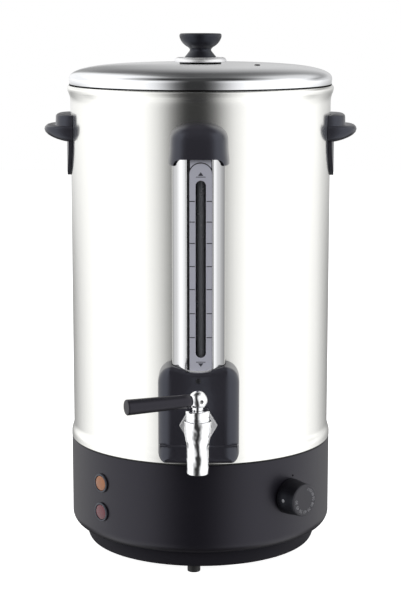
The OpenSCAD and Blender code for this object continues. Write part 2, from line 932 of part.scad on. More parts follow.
module handle() {
    difference() {
        union() {
            translate([0, 0, block_z])
                linear_extrude(height = handle_h)
                    handle_plan(handle_block, handle_w, 7);
            translate([0, 0, shelf_z])
                linear_extrude(height = shelf_h)
                    handle_plan(handle_reach, handle_w - 4, 15);
            intersection() {
                translate([0, 0, block_z - tongue_h])
                    difference() {
                        cylinder(h = tongue_h + 4, r = handle_fit + tongue_t, $fn = wall_facets);
                        translate([0, 0, -over])
                            cylinder(h = tongue_h + 6, r = handle_fit, $fn = wall_facets);
                    }
                rotate([90, 0, 90])
                    linear_extrude(height = tank_r + 20)
                        tongue_outline();
            }
        }
        translate([pocket_x, -pocket_w / 2, block_z - over])
            cube([pocket_len, pocket_w, shelf_z - block_z + pocket_up + over]);
        for (turn = [-hscrew_az, hscrew_az])
            outward(90 + turn, tank_r - screw_entry, hscrew_z)
                cylinder(h = hscrew_len + screw_entry, r = hscrew_r + run, $fn = screw_facets);
    }
}

module handle_right() {
    color(black_tone)
        handle();
}

module handle_left() {
    color(black_tone)
        mirror([1, 0, 0])
            handle();
}

module handle_screws() {
    color("silver")
        for (side = [-90, 90], turn = [-hscrew_az, hscrew_az])
            outward(side + turn, bore_r - fit, hscrew_z)
                screw(hscrew_r, hscrew_len - 1, 4.5, 2.8);
}

// ---------- Gauge ----------

// Front view of the cap: a bell with two lower corners that hang beside the channel
module cap_outline() {
    half = cap_w / 2;
    shoulder = cap_z - cap_dome;
    arch = 4.5;
    polygon(concat(
        [[half - 4, cap_low], [half - 1, cap_low + 0.5], [half, cap_low + 3]],
        [for (i = [0:12]) [half * pow(cos(7.5 * i), 0.75), shoulder + cap_dome * pow(sin(7.5 * i), 0.85)]],
        [for (i = [11:-1:0]) [-half * pow(cos(7.5 * i), 0.75),
                              shoulder + cap_dome * pow(sin(7.5 * i), 0.85)]],
        [[-half, cap_low + 3], [-half + 1, cap_low + 0.5], [-half + 4, cap_low],
         [-half + 8, cap_low + arch - 0.5], [-half + 10, cap_low + arch],
         [half - 10, cap_low + arch], [half - 8, cap_low + arch - 0.5]]
    ));
}

// Plan of the bright channel's outside, grown by g
module channel_plan(g) {
    half = channel_w / 2 + g;
    front = gauge_front - g;
    polygon([
        [-half, channel_back + 6], [-half, front + 12], [-half + 2.2, front + 5.5],
        [-half + 6.5, front + 0.8], [-half + 9, front],
        [half - 9, front], [half - 6.5, front + 0.8], [half - 2.2, front + 5.5],
        [half, front + 12], [half, channel_back + 6]
    ]);
}

module gauge_channel() {
    color("white")
        translate([0, 0, channel_low])
            linear_extrude(height = channel_top - channel_low)
                difference() {
                    intersection() {
                        channel_plan(0);
                        translate([-50, gauge_front - over])
                            square([100, channel_back - gauge_front + over]);
                    }
                    channel_plan(-channel_t);
                    translate([opening_x[0], gauge_front - over])
                        square([opening_x[1] - opening_x[0], 4]);
                }
}

module gauge_top_cap() {
    boss_low = tube_top - 8;
    color(black_tone)
        difference() {
            union() {
                difference() {
                    intersection() {
                        translate([0, -tank_r + 20, 0])
                            rotate([90, 0, 0])
                                linear_extrude(height = 60)
                                    cap_outline();
                        translate([0, housing_front + 40, cap_low - over])
                            linear_extrude(height = cap_h + 2 * over)
                                rounded(cap_w, cutter * 4, cap_side_r);
                    }
                    translate([0, 0, cap_low - over])
                        linear_extrude(height = channel_top + 0.3 - cap_low + over)
                            channel_plan(0.3);
                }
                translate([gauge_shift, tube_y, boss_low])
                    cylinder(h = cap_z - 12 - boss_low, r = riser_r + 0.5, $fn = part_facets);
            }
            cylinder(h = rim_z, r = handle_fit, $fn = wall_facets);
            translate([gauge_shift, tube_y, boss_low - over])
                cylinder(h = tube_top + 1 - boss_low + over, r = tube_r + seat_gap, $fn = part_facets);
            translate([gauge_shift, tube_y, boss_low - over])
                cylinder(h = seal_h + 1 + over, r = tube_r + seal_wall, $fn = part_facets);
            outward(0, tank_r - screw_entry, cscrew_z)
                cylinder(h = 15, r = cscrew_r + run, $fn = screw_facets);
        }
}

module cap_screw() {
    color("silver")
        outward(0, bore_r - fit, cscrew_z)
            screw(cscrew_r, 9, 3.6, 2.4);
}

module gauge_panel() {
    wing_t = 1.5;
    wing_w = channel_w - 20;
    wing_front = gauge_front + channel_t + 0.1;
    color([0.66, 0.66, 0.7])
        difference() {
            union() {
                translate([gauge_shift, panel_front + panel_t, 0])
                    rotate([90, 0, 0])
                        linear_extrude(height = panel_t) {
                            translate([-panel_w / 2, panel_low])
                                square([panel_w, panel_top - panel_w / 2 - panel_low]);
                            translate([0, panel_top - panel_w / 2])
                                circle(r = panel_w / 2);
                        }
                translate([-wing_w / 2, wing_front, panel_low])
                    cube([wing_w, wing_t, channel_top - 3 - panel_low]);
            }
            translate([gauge_shift, 0, 0])
                rotate([90, 0, 0])
                    linear_extrude(height = 300) {
                        translate([-slot_w / 2, slot_z[0] + slot_w / 2])
                            square([slot_w, slot_z[1] - slot_z[0] - slot_w]);
                        for (z = [slot_z[0] + slot_w / 2, slot_z[1] - slot_w / 2])
                            translate([0, z])
                                circle(r = slot_w / 2);
                    }
            outward(0, -panel_front - cutter / 2, hs_z)
                cylinder(h = cutter, r = hs_r + run, $fn = pin_facets);
        }
}

module sight_tube() {
    color([0.8, 0.85, 0.9, 0.4])
        translate([gauge_shift, tube_y, tube_low])
            difference() {
                cylinder(h = tube_top - tube_low, r = tube_r, $fn = part_facets);
                translate([0, 0, -over])
                    cylinder(h = tube_top - tube_low + 2 * over, r = tube_r - tube_wall, $fn = part_facets);
            }
}

module tube_seals() {
    color("white")
        for (z = [riser_top, tube_top - 8])
            translate([gauge_shift, tube_y, z])
                difference() {
                    cylinder(h = seal_h, r = tube_r + 2, $fn = part_facets);
                    translate([0, 0, -over])
                        cylinder(h = seal_h + 2 * over, r = tube_r + run, $fn = part_facets);
                }
}

module gauge_tee() {
    barrel_back = -(tank_r + seat_gap + washer_t);
    barrel_len_y = barrel_back - housing_front - housing_wall - 1;
    color("burlywood")
        difference() {
            union() {
                translate([0, barrel_back, inlet_axis])
                    rotate([90, 0, 0])
                        cylinder(h = barrel_len_y, r = barrel_out, $fn = body_facets);
                translate([gauge_shift, tube_y, inlet_axis])
                    cylinder(h = riser_top - inlet_axis, r = riser_r, $fn = part_facets);
            }
            translate([0, barrel_back + over, inlet_axis])
                rotate([90, 0, 0])
                    cylinder(h = barrel_len_y + 2 * over, r = shank_r + fit, $fn = body_facets);
            translate([gauge_shift, tube_y, tube_low])
                cylinder(h = riser_top - tube_low + over, r = tube_r + seat_gap, $fn = part_facets);
            translate([gauge_shift, tube_y, inlet_axis])
                cylinder(h = riser_top - inlet_axis, r = tube_r - tube_wall, $fn = part_facets);
        }
}

module tube_gland_nut() {
    color("burlywood")
        translate([gauge_shift, tube_y, riser_top + 0.2])
            difference() {
                hexagon(gland_af, gland_h);
                translate([0, 0, -over])
                    cylinder(h = gland_h + 2 * over, r = tube_r + 0.2, $fn = part_facets);
                translate([0, 0, -over])
                    cylinder(h = seal_h + over, r = tube_r + seal_wall, $fn = part_facets);
            }
}

// ---------- Tap housing ----------

// Front view of the housing: two peaks beside a notch for the channel, and round lower corners
module housing_front_view() {
    half = housing_w / 2;
    corner = housing_corner;
    peak_x = channel_w / 2 - 0.5;
    polygon(concat(
        arc(-half + corner, housing_z + corner, corner, 180, 270, 6),
        arc(half - corner, housing_z + corner, corner, 270, 360, 6),
        [for (i = [0:8]) [peak_x + (half - peak_x) * cos(11.25 * i),
                          peak_z - peak_r + peak_r * sin(11.25 * i)]],
        [for (i = [0:6]) [12 * cos(30 * i), notch_z + 3 - 3 * sin(30 * i)]],
        [for (i = [8:-1:0]) [-peak_x - (half - peak_x) * cos(11.25 * i),
                             peak_z - peak_r + peak_r * sin(11.25 * i)]]
    ));
}

module housing_plan(inset) {
    depth = 80;
    translate([0, housing_front + inset + depth / 2])
        rounded(housing_w - 2 * inset, depth, housing_side_r - inset);
}

module tap_housing() {
    ledge = 19;
    color(black_tone)
        difference() {
            intersection() {
                translate([0, -tank_r + 20, 0])
                    rotate([90, 0, 0])
                        linear_extrude(height = 70)
                            housing_front_view();
                union() {
                    translate([0, 0, housing_z])
                        linear_extrude(height = ledge)
                            housing_plan(-1);
                    translate([0, 0, housing_z])
                        linear_extrude(height = housing_h)
                            housing_plan(0);
                }
            }
            translate([0, 0, housing_z + housing_wall])
                linear_extrude(height = housing_h - 14 - housing_wall)
                    housing_plan(housing_wall);
            translate([0, 0, housing_z + housing_wall])
                linear_extrude(height = housing_h)
                    channel_plan(0.5);
            cylinder(h = rim_z, r = handle_fit, $fn = wall_facets);
            cylinder(h = tank_z + flare_h, r = handle_fit + foot_flare / 2, $fn = wall_facets);
            outward(0, -housing_front - cutter / 2, inlet_axis)
                cylinder(h = cutter, r = shank_r + 2 * fit, $fn = body_facets);
            outward(0, -housing_front - cutter / 2, hs_z)
                cylinder(h = cutter, r = hs_r + fit, $fn = pin_facets);
        }
}

module housing_screw() {
    color("dimgray")
        translate([0, housing_front, hs_z])
            rotate([-90, 0, 0])
                screw(hs_r, 6, 2.6, 1.4);
}

// ---------- Tap ----------

module tap_body() {
    shank_len = tap_reach + shank_inside;
    color("white")
        difference() {
            union() {
                translate([0, tap_y, 0])
                    rotate_extrude($fn = body_facets)
                        polygon([
                            [0, spout_z], [spout_d / 2 - 1, spout_z], [spout_d / 2, spout_z + 1.5],
                            [spout_d / 2, inlet_axis - 4], [collar_r - 1, inlet_axis + 8],
                            [collar_r, inlet_axis + 11], [collar_r, collar_z - 0.8],
                            [collar_r - 0.8, collar_z], [0, collar_z]
                        ]);
                translate([0, tap_y, inlet_axis])
                    rotate([-90, 0, 0])
                        cylinder(h = shank_len, r = shank_r, $fn = body_facets);
            }
            translate([0, tap_y, spout_z - over])
                cylinder(h = seat_z - 3 - spout_z + over, r = spout_bore / 2, $fn = body_facets);
            translate([0, tap_y, spout_z])
                cylinder(h = collar_z - spout_z - 1, r = seat_r, $fn = body_facets);
            translate([0, tap_y, seat_z])
                cylinder(h = collar_z - seat_z + over, r = chamber_r, $fn = body_facets);
            translate([0, tap_y, inlet_axis])
                rotate([-90, 0, 0])
                    cylinder(h = shank_len + over, r = shank_bore, $fn = body_facets);
        }
}

module tap_flange_nut() {
    color("white")
        translate([0, housing_front - 1 - fit, inlet_axis])
            rotate([90, 0, 0])
                difference() {
                    hexagon(hexnut_af, hexnut_h);
                    translate([0, 0, -over])
                        cylinder(h = hexnut_h + 2 * over, r = shank_r + run, $fn = body_facets);
                }
}

module flat_washer(front, t) {
    color("ivory")
        translate([0, front + t, inlet_axis])
            rotate([90, 0, 0])
                difference() {
                    cylinder(h = t, r = 16, $fn = body_facets);
                    translate([0, 0, -over])
                        cylinder(h = t + 2 * over, r = shank_r + fit, $fn = body_facets);
                }
}

inner_face = -sqrt(bore_r * bore_r - 16 * 16) + 0.1;

module outer_washer() {
    flat_washer(-(tank_r + seat_gap + washer_t), washer_t);
}

module inner_washer() {
    flat_washer(inner_face, washer_t);
}

module tap_backnut() {
    color("silver")
        translate([0, inner_face + washer_t + backnut_h, inlet_axis])
            rotate([90, 0, 0])
                difference() {
                    hexagon(backnut_af, backnut_h);
                    translate([0, 0, -over])
                        cylinder(h = backnut_h + 2 * over, r = shank_r + run, $fn = body_facets);
                }
}

module tap_bonnet() {
    color("white")
        translate([0, tap_y, 0])
            difference() {
                union() {
                    rotate_extrude($fn = body_facets)
                        polygon([
                            [0, bonnet_z], [bonnet_r, bonnet_z], [bonnet_r, bonnet_top - 2],
                            [bonnet_r - 1.5, bonnet_top], [0, bonnet_top]
                        ]);
                    translate([0, 0, bonnet_z - plug_len])
                        cylinder(h = plug_len + over, r = chamber_r - fit, $fn = body_facets);
                }
                translate([0, 0, bonnet_z - plug_len - over])
                    cylinder(h = 30, r = stem_r + run, $fn = body_facets);
            }
}

module tap_thrust_washer() {
    color([0.85, 0.85, 0.8])
        translate([0, tap_y, bonnet_top + lift_gap])
            difference() {
                cylinder(h = thrust_t, r = 5.2, $fn = body_facets);
                translate([0, 0, -over])
                    cylinder(h = thrust_t + 2 * over, r = 3.9, $fn = body_facets);
            }
}

// Places its children at the ball's centre, with local +X along the lever at rest
module at_ball() {
    translate([0, tap_y, ball_z])
        rotate([0, 0, lever_turn])
            children();
}

module tap_stem() {
    blade_low = bonnet_top + 0.4;
    color("silver") {
        translate([0, tap_y, stem_flange_z])
            cylinder(h = blade_low - stem_flange_z, r = stem_r, $fn = part_facets);
        translate([0, tap_y, stem_flange_z])
            cylinder(h = stem_flange_t, r = 6.5, $fn = part_facets);
        at_ball()
            difference() {
                union() {
                    translate([-blade_w / 2, -blade_t / 2, blade_low - ball_z - 0.1])
                        cube([blade_w, blade_t, ball_z - blade_low + 0.1]);
                    rotate([90, 0, 0])
                        cylinder(h = blade_t, r = eye_r, center = true, $fn = part_facets);
                }
                rotate([90, 0, 0])
                    cylinder(h = cutter, r = pin_r + 0.02, center = true, $fn = part_facets);
            }
    }
}

module seat_washer() {
    color([0.15, 0.15, 0.15])
        translate([0, tap_y, seat_z + lift_gap])
            cylinder(h = seat_t, r = seat_r + seat_over, $fn = part_facets);
}

module lever_pin() {
    color("silver")
        at_ball()
            rotate([90, 0, 0])
                cylinder(h = pin_len, r = pin_r, center = true, $fn = part_facets);
}

// Slot of the ball, seen along its pin: room for the stem's eye, and for its blade as the ball tips
module ball_slot() {
    half = blade_w / 2 + blade_gap;
    reach = 2 * ball_r;
    open_a = lever_swing + 8;
    edge = [-half * cos(open_a), half * sin(open_a)];
    circle(r = eye_r + 0.5, $fn = part_facets);
    polygon([
        [half, 0], [half, -reach], [-reach, -reach],
        [edge[0] - reach * sin(open_a), edge[1] - reach * cos(open_a)], edge
    ]);
}

module tap_lever_hub() {
    slot_t = blade_t + blade_gap;
    color("white")
        at_ball()
            difference() {
                union() {
                    difference() {
                        sphere(r = ball_r, $fn = body_facets);
                        translate([-20, -20, -20 - ball_flat])
                            cube([40, 40, 20]);
                    }
                    rotate([0, 90, 0])
                        cylinder(h = 18, r = shaft_r, $fn = screw_facets);
                }
                translate([0, slot_t / 2, 0])
                    rotate([90, 0, 0])
                        linear_extrude(height = slot_t)
                            ball_slot();
                rotate([90, 0, 0])
                    cylinder(h = cutter, r = pin_r + run, center = true, $fn = part_facets);
            }
}

module tap_lever_rod() {
    color([0.15, 0.15, 0.16])
        at_ball()
            difference() {
                rotate([0, 90, 0])
                    rotate_extrude($fn = body_facets)
                        polygon([
                            [0, 4], [lever_root_r, 4], [lever_d / 2, lever_len - 1],
                            [lever_d / 2 - 1, lever_len], [0, lever_len]
                        ]);
                sphere(r = ball_r + seat_gap, $fn = body_facets);
                rotate([0, 90, 0])
                    cylinder(h = 18.1, r = shaft_r + run, $fn = screw_facets);
            }
}

// Ring of points of a coil's wire at a given share of its length
function coil_ring(i, steps, height, r, wire) =
    let (a = 360 * spring_turns * i / steps, z = wire + (height - 2 * wire) * i / steps)
    [for (k = [0:7]) let (b = 45 * k)
        [(r + wire * cos(b)) * cos(a), (r + wire * cos(b)) * sin(a), z + wire * sin(b)]];

module tap_spring() {
    low = stem_flange_z + stem_flange_t;
    height = bonnet_z - plug_len - low;
    steps = 16 * spring_turns;
    points = [for (i = [0:steps]) each coil_ring(i, steps, height, spring_r, spring_wire)];
    color("silver")
        translate([0, tap_y, low])
            polyhedron(points, tube_faces(steps), convexity = 8);
}

// ---------- Lid ----------

module lid_shell() {
    outer = [for (i = [0:crown_steps])
        let (r = lid_r * sin(90 * i / crown_steps)) [r, crown(r, crown_z, crown_h, lid_r)]];
    inner = [for (i = [crown_steps:-1:0])
        let (r = (lid_r - lid_t) * sin(90 * i / crown_steps))
        [r, crown(r, crown_z - lid_t, crown_h - lid_t, lid_r - lid_t)]];
    color("gainsboro")
        difference() {
            rotate_extrude($fn = wall_facets)
                polygon(concat(outer, [[lid_r - 0.6, lid_low], [lid_r - 0.6 - lid_t, lid_low]],
                               inner));
            translate([0, 0, crown_z - cutter / 2])
                cylinder(h = cutter, r = knob_screw_r + fit, $fn = screw_facets);
            translate([vent_xy[0], vent_xy[1], crown_z - cutter / 2])
                cylinder(h = cutter, r = vent_d / 2, $fn = screw_facets);
        }
}

module lid_locating_ring() {
    flange_r = lid_r - lid_t - 0.8;
    color("silver")
        rotate_extrude($fn = wall_facets)
            polygon([
                [ring_r - lid_t, rim_z - lid_ring_h], [ring_r, rim_z - lid_ring_h],
                [ring_r, lid_low + 0.6], [flange_r, lid_low + 0.6],
                [flange_r, lid_low + 0.6 + lid_t], [ring_r - lid_t, lid_low + 0.6 + lid_t]
            ]);
}

module knob_boss() {
    r = boss_d / 2;
    color("gainsboro")
        translate([0, 0, crown_z])
            difference() {
                rotate_extrude($fn = disc_facets)
                    polygon(concat(
                        [[0, 0.1]],
                        arc(r - boss_round, boss_round, boss_round, -75, 90, 8),
                        [[0, boss_h]]));
                cylinder(h = cutter, r = knob_screw_r + fit, center = true, $fn = screw_facets);
            }
}

module lid_knob() {
    r = knob_d / 2;
    h = knob_h;
    color([0.13, 0.13, 0.14])
        translate([0, 0, knob_z])
            difference() {
                rotate_extrude($fn = disc_facets)
                    polygon([
                        [0, 0], [0.74 * r, 0], [0.74 * r, 0.03 * h], [0.6 * r, 0.18 * h],
                        [0.51 * r, 0.3 * h], [0.56 * r, 0.4 * h], [0.74 * r, 0.51 * h],
                        [0.88 * r, 0.64 * h], [0.96 * r, 0.77 * h], [r, 0.88 * h],
                        [0.995 * r, 0.95 * h], [0.96 * r, h], [0, h]
                    ]);
                translate([0, 0, -over])
                    cylinder(h = 13, r = knob_screw_r + run, $fn = screw_facets);
            }
}

module knob_screw() {
    under = crown_z - lid_t;
    color("silver")
        translate([0, 0, under])
            screw(knob_screw_r, knob_z + 11.8 - under, 5, 3);
}

tank_shell();
tank_floor();
heat_plate();
heating_element();
heat_shield();
boil_dry_cutout();
keep_warm_thermostat();
control_thermostat();
thermostat_bulbs();
capillary_tubes();
terminal_block();
wiring();
base_gasket();
base_housing();
bottom_plate();
rubber_feet();
base_screws();
tie_rods();
lamp_bezels();
keep_warm_lens();
heat_lens();
lamp_holders();
mains_inlet();
inlet_pins();
inlet_screws();
handle_left();
handle_right();
handle_screws();
gauge_top_cap();
gauge_channel();
gauge_panel();
sight_tube();
tube_seals();
gauge_tee();
tube_gland_nut();
cap_screw();
tap_housing();
housing_screw();
tap_body();
tap_flange_nut();
outer_washer();
inner_washer();
tap_backnut();
tap_bonnet();
tap_spring();
tap_thrust_washer();
tap_stem();
seat_washer();
lever_pin();
tap_lever_hub();
tap_lever_rod();
lid_shell();
lid_locating_ring();
lid_knob();
knob_boss();
knob_screw();
dial_knob();
dial_shaft();
reset_button();
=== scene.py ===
# Looks of a hot water urn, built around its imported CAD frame.
# Sizes are in millimetres and angles in degrees unless a line says otherwise; Blender gets metres.
import math

import bmesh
import bpy
from mathutils import Matrix, Vector


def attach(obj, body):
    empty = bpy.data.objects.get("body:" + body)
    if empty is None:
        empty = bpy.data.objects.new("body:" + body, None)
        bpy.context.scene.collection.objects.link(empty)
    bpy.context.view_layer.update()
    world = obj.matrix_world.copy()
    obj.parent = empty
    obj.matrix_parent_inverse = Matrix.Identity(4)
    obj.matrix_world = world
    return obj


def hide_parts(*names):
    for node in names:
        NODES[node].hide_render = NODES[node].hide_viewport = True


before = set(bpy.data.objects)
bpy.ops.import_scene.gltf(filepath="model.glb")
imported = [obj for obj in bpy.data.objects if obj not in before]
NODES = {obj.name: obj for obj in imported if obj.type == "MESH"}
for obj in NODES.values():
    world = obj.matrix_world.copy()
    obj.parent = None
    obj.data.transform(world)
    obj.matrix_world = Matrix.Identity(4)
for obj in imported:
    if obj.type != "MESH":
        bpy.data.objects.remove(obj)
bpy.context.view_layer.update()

MM = 0.001

# Levels and radii of the urn. Those of the base's ledge and the tank's foot were measured
# after the CAD was made, and lie a few millimetres higher than in it.
TANK_R = 135.0
SKIN_R = 135.3      # what is fitted around the tank's wall
BORE_R = 134.0
FOOT_R = 137.4
FOOT_IN_R = 136.4
TANK_Z = 121.2
FLARE_TOP = 136.5
RIM_Z = 491.0
LID_R = 136.2
LID_LOW = 491.3
LID_WIDE = 496.9
CROWN_Z = 512.9
KNOB_Z = 518.9
BASE_R = 137.2
BASE_Z = 26.5
LEDGE_Z = 120.0
PAN_Z = 8.5
FEET_RING = 105
PAN_SCREW_RING = 110
ROD_RING = 95
RESET_RING = 45
GAUGE_FRONT = -161.5
PANEL_FRONT = -160.7
PANEL_X = 2.2
PANEL_LOW = 206.5
PANEL_SLOT = (9.9, 234.5, 407.5)
TUBE_Y = -149.5
CAP_LOW = 421.0
HOUSING_LOW = 130.0
HOUSING_TOP = 226.0
HOUSING_FRONT = -164.5
IN_TANK_Y = -118    # blocks on the tank's front start inside its wall
TAP_Y = -212.0
INLET_AXIS = 170.0
BALL_Z = 204.6
LEVER_TURN = 205.0
DIAL_AZ = 42.0
DIAL_Z = 79.0
LAMP_AZ = -47.0
LAMP_Z = (89.4, 58.8)
MAINS_Z = 60
WALL_SCREW_Z = 453

AMBIENT = 0.42
LOW_AMBIENT = 0.16


# ---------- Shader graphs ----------

class Signal:
    """An output socket of a shader graph; sums and products with it add Math nodes."""

    def __init__(self, socket):
        self.socket = socket
        self.tree = socket.id_data

    def do(self, operation, *others, clamp=False):
        return maths(self.tree, operation, (self,) + others, clamp)

    def __add__(self, other):
        return self.do("ADD", other)

    def __sub__(self, other):
        return self.do("SUBTRACT", other)

    def __rsub__(self, other):
        return maths(self.tree, "SUBTRACT", (other, self))

    def __mul__(self, other):
        return self.do("MULTIPLY", other)


def feed(socket, given):
    """Sets an input socket to a constant, or links a signal to it."""
    if isinstance(given, Signal):
        given.tree.links.new(given.socket, socket)
    else:
        socket.default_value = given


def add_node(tree, kind, fed=None, **settings):
    """A shader node with its settings, and its inputs fed by name or number."""
    made = tree.nodes.new("ShaderNode" + kind)
    for key, value in settings.items():
        setattr(made, key, value)
    for label, value in (fed or {}).items():
        feed(made.inputs[label], value)
    return made


def signal(tree, kind, output, fed=None, **settings):
    """One output of a new shader node."""
    return Signal(add_node(tree, kind, fed, **settings).outputs[output])


def maths(tree, operation, operands, clamp=False):
    fed = dict(enumerate(operands))
    return signal(tree, "Math", 0, fed, operation=operation, use_clamp=clamp)


def axes(tree, kind, output):
    """The X, Y and Z of a new node's vector output."""
    split = add_node(tree, "SeparateXYZ", {"Vector": signal(tree, kind, output)})
    return [Signal(split.outputs[axis]) for axis in "XYZ"]


def scaled(vector, factor):
    return signal(vector.tree, "VectorMath", "Vector", {"Vector": vector, "Scale": factor},
                  operation="SCALE")


def ramp(factor, stops):
    """A colour ramp of grey stops (place, grey)."""
    made = add_node(factor.tree, "ValToRGB", {"Fac": factor})
    made.color_ramp.interpolation = "LINEAR"
    elements = made.color_ramp.elements
    while len(elements) < len(stops):
        elements.new(0.5)
    for element, (place, grey) in zip(elements, stops):
        element.position = place
        element.color = (grey, grey, grey, 1.0)
    return Signal(made.outputs["Color"])


def blend(first, second, share):
    """first where share is 0, second where it is 1."""
    return share * (second - first) + first


def between(value, start, end):
    """0 at start, 1 at end, held beyond both."""
    return (value - start).do("DIVIDE", end - start, clamp=True)


def rgba(colour):
    return (*colour, 1.0)


def mixed(first, second, share):
    """A colour signal turned into a fixed second colour where share is 1."""
    return signal(first.tree, "Mix", 2, {0: share, 6: first, 7: rgba(second)}, data_type="RGBA")


# ---------- Camera, floor and light ----------

def put(name, data):
    """A new object in the scene."""
    made = bpy.data.objects.new(name, data)
    bpy.context.scene.collection.objects.link(made)
    return made


def make_camera():
    """The photograph's view: from the front, a little from the right, looking down by ten degrees."""
    turn = math.radians(0.7)
    pitch = math.radians(9.95)
    away = 1.817
    data = bpy.data.cameras.new("photo_camera")
    data.lens = 104.2
    data.sensor_width = 36.0
    data.clip_start = 0.05
    data.clip_end = 60.0
    camera = put("photo_camera", data)
    camera.location = (away * math.sin(turn), -away * math.cos(turn), 0.582)
    look = Vector((-math.sin(turn) * math.cos(pitch), math.cos(turn) * math.cos(pitch),
                   -math.sin(pitch)))
    camera.rotation_euler = look.to_track_quat("-Z", "Y").to_euler()
    bpy.context.scene.camera = camera


def make_world():
    """A white room for the camera; polished steel sees a dark side in front and a dim one behind."""
    world = bpy.data.worlds.new("studio")
    bpy.context.scene.world = world
    world.use_nodes = True
    tree = world.node_tree
    tree.nodes.clear()
    x_out, y_out, z_out = axes(tree, "TexCoord", "Generated")
    heading = x_out.do("ARCTAN2", y_out * -1.0)
    turn = heading.do("DIVIDE", math.tau) + 0.5
    front = [(0.356, 1.25), (0.378, 1.05), (0.395, 0.88), (0.411, 0.64), (0.428, 0.36),
             (0.442, 0.17), (0.456, 0.08), (0.467, 0.035), (0.511, 0.035), (0.522, 0.08),
             (0.536, 0.17), (0.550, 0.36), (0.567, 0.64), (0.583, 0.88), (0.600, 1.05),
             (0.622, 1.25)]
    level = ramp(turn, [(0.0, 0.85), (0.05, 1.0), (0.10, 1.15), (0.16, 1.25)] + front
                 + [(0.84, 1.25), (0.88, 0.9), (0.94, 0.65), (1.0, 0.6)])
    low = ramp(turn, [(0.0, 0.30), (0.07, 0.39), (0.11, 0.64), (0.16, 0.98), (0.21, 1.25)]
               + front + [(0.79, 1.25), (0.85, 0.95), (0.89, 0.62), (0.94, 0.34), (1.0, 0.28)])
    seen = blend(level, low, between(z_out, -0.05, -0.16))
    seen = blend(seen, 0.05, between(z_out, 0.72, 0.95))
    across = (x_out * 3.2 + 0.62).do("MAXIMUM", 0.34).do("MINIMUM", 0.67)
    across = across * ramp(z_out, [(0.18, 1.0), (0.26, 0.76), (0.34, 0.56), (0.5, 0.4)])
    across = blend(across, 1.05, between(x_out, -0.16, -0.23))
    raised = ramp(x_out * 0.5 + 0.5, [
        (0.30, 1.3), (0.375, 1.1), (0.39, 0.95), (0.41, 0.66), (0.425, 0.31), (0.445, 0.16),
        (0.46, 0.12), (0.478, 0.08), (0.535, 0.135), (0.558, 0.19), (0.575, 0.25),
        (0.595, 0.36), (0.615, 0.46), (0.63, 0.66), (0.70, 0.8), (0.9, 0.9)])
    raised = blend(raised, 0.05, between(z_out, 0.80, 0.97))
    rear = blend(across, raised, between(z_out, 0.36, 0.52))
    seen = blend(seen, rear, between(y_out, 0.25, 0.55) * between(z_out, 0.03, 0.08))
    low_behind = between(y_out, 0.3, 0.6) * between(z_out, -0.34, -0.46)
    seen = blend(seen, 0.06, between(z_out, -0.80, -0.95).do("MAXIMUM", low_behind))
    path = add_node(tree, "LightPath").outputs
    shiny = Signal(path["Is Glossy Ray"]).do("MAXIMUM", Signal(path["Is Transmission Ray"]))
    soft = blend(AMBIENT, LOW_AMBIENT, between(z_out, 0.0, -0.3))
    strength = blend(blend(soft, seen, shiny), 1.0, Signal(path["Is Camera Ray"]))
    glow = signal(tree, "Background", 0, {"Color": (1, 1, 1, 1), "Strength": strength})
    add_node(tree, "OutputWorld", {"Surface": glow})


def area_lamp(name, place, size, power):
    """A soft box that faces the middle of the urn."""
    data = bpy.data.lights.new(name, "AREA")
    data.size = size
    data.energy = power
    lamp = put(name, data)
    lamp.location = place
    aim = Vector((0.0, 0.0, 0.27)) - Vector(place)
    lamp.rotation_euler = aim.to_track_quat("-Z", "Y").to_euler()
    lamp.visible_glossy = False
    lamp.visible_camera = False


def make_stage():
    """A plain white floor that keeps the urn's shadow."""
    mesh = bpy.data.meshes.new("floor")
    mesh.from_pydata([(x, y, 0) for x, y in rectangle(-4.0, -4.0, 4.0, 4.0)], [], [(0, 1, 2, 3)])
    floor = put("floor", mesh)
    material = bpy.data.materials.new("studio_floor")
    material.use_nodes = True
    tree = material.node_tree
    camera_ray = signal(tree, "LightPath", "Is Camera Ray")
    shader = tree.nodes["Principled BSDF"].inputs
    for label, value in (("Base Color", (0.88, 0.88, 0.88, 1)), ("Roughness", 0.9),
                         ("Specular IOR Level", 0.1), ("Emission Color", (1, 1, 1, 1)),
                         ("Emission Strength", camera_ray * 0.95)):
        feed(shader[label], value)
    mesh.materials.append(material)
    floor.visible_glossy = False
    floor.visible_diffuse = False


# ---------- Shader node groups ----------

def noise(vector, scale, detail, roughness=0.55):
    return signal(vector.tree, "TexNoise", "Fac", {
        "Vector": vector, "Scale": scale, "Detail": detail, "Roughness": roughness})


def object_place(tree):
    return signal(tree, "TexCoord", "Object")


def colour_drift(tree, colour, amount, scale):
    """Slow, faint changes of tone over a surface."""
    cloud = noise(object_place(tree), scale, 4)
    return [scaled(colour, (cloud - 0.5) * amount + 1.0)]


def moulded_grain(tree, scale):
    """The fine pebbled texture of moulded plastic."""
    place = object_place(tree)
    cells = signal(tree, "TexVoronoi", "Distance", {
        "Vector": place, "Scale": scale, "Smoothness": 0.6}, feature="SMOOTH_F1")
    return [cells * 0.7 + noise(place, scale, 2)]


def brush_lines(tree, fineness, length):
    """Fine lines left by brushing a turned sheet around the Z axis."""
    x_out, y_out, z_out = axes(tree, "TexCoord", "Object")
    radius = (x_out * x_out + y_out * y_out).do("SQRT")
    flat = signal(tree, "CombineXYZ", 0, {"X": x_out, "Y": y_out})
    unit = signal(tree, "VectorMath", 0, {0: flat}, operation="NORMALIZE")
    lift = signal(tree, "CombineXYZ", 0, {"Z": (radius + z_out) * fineness})
    total = signal(tree, "VectorMath", 0, {0: scaled(unit, length), 1: lift}, operation="ADD")
    lines = noise(total, 1.0, 3, 0.7)
    return [lines, lines - 0.5]


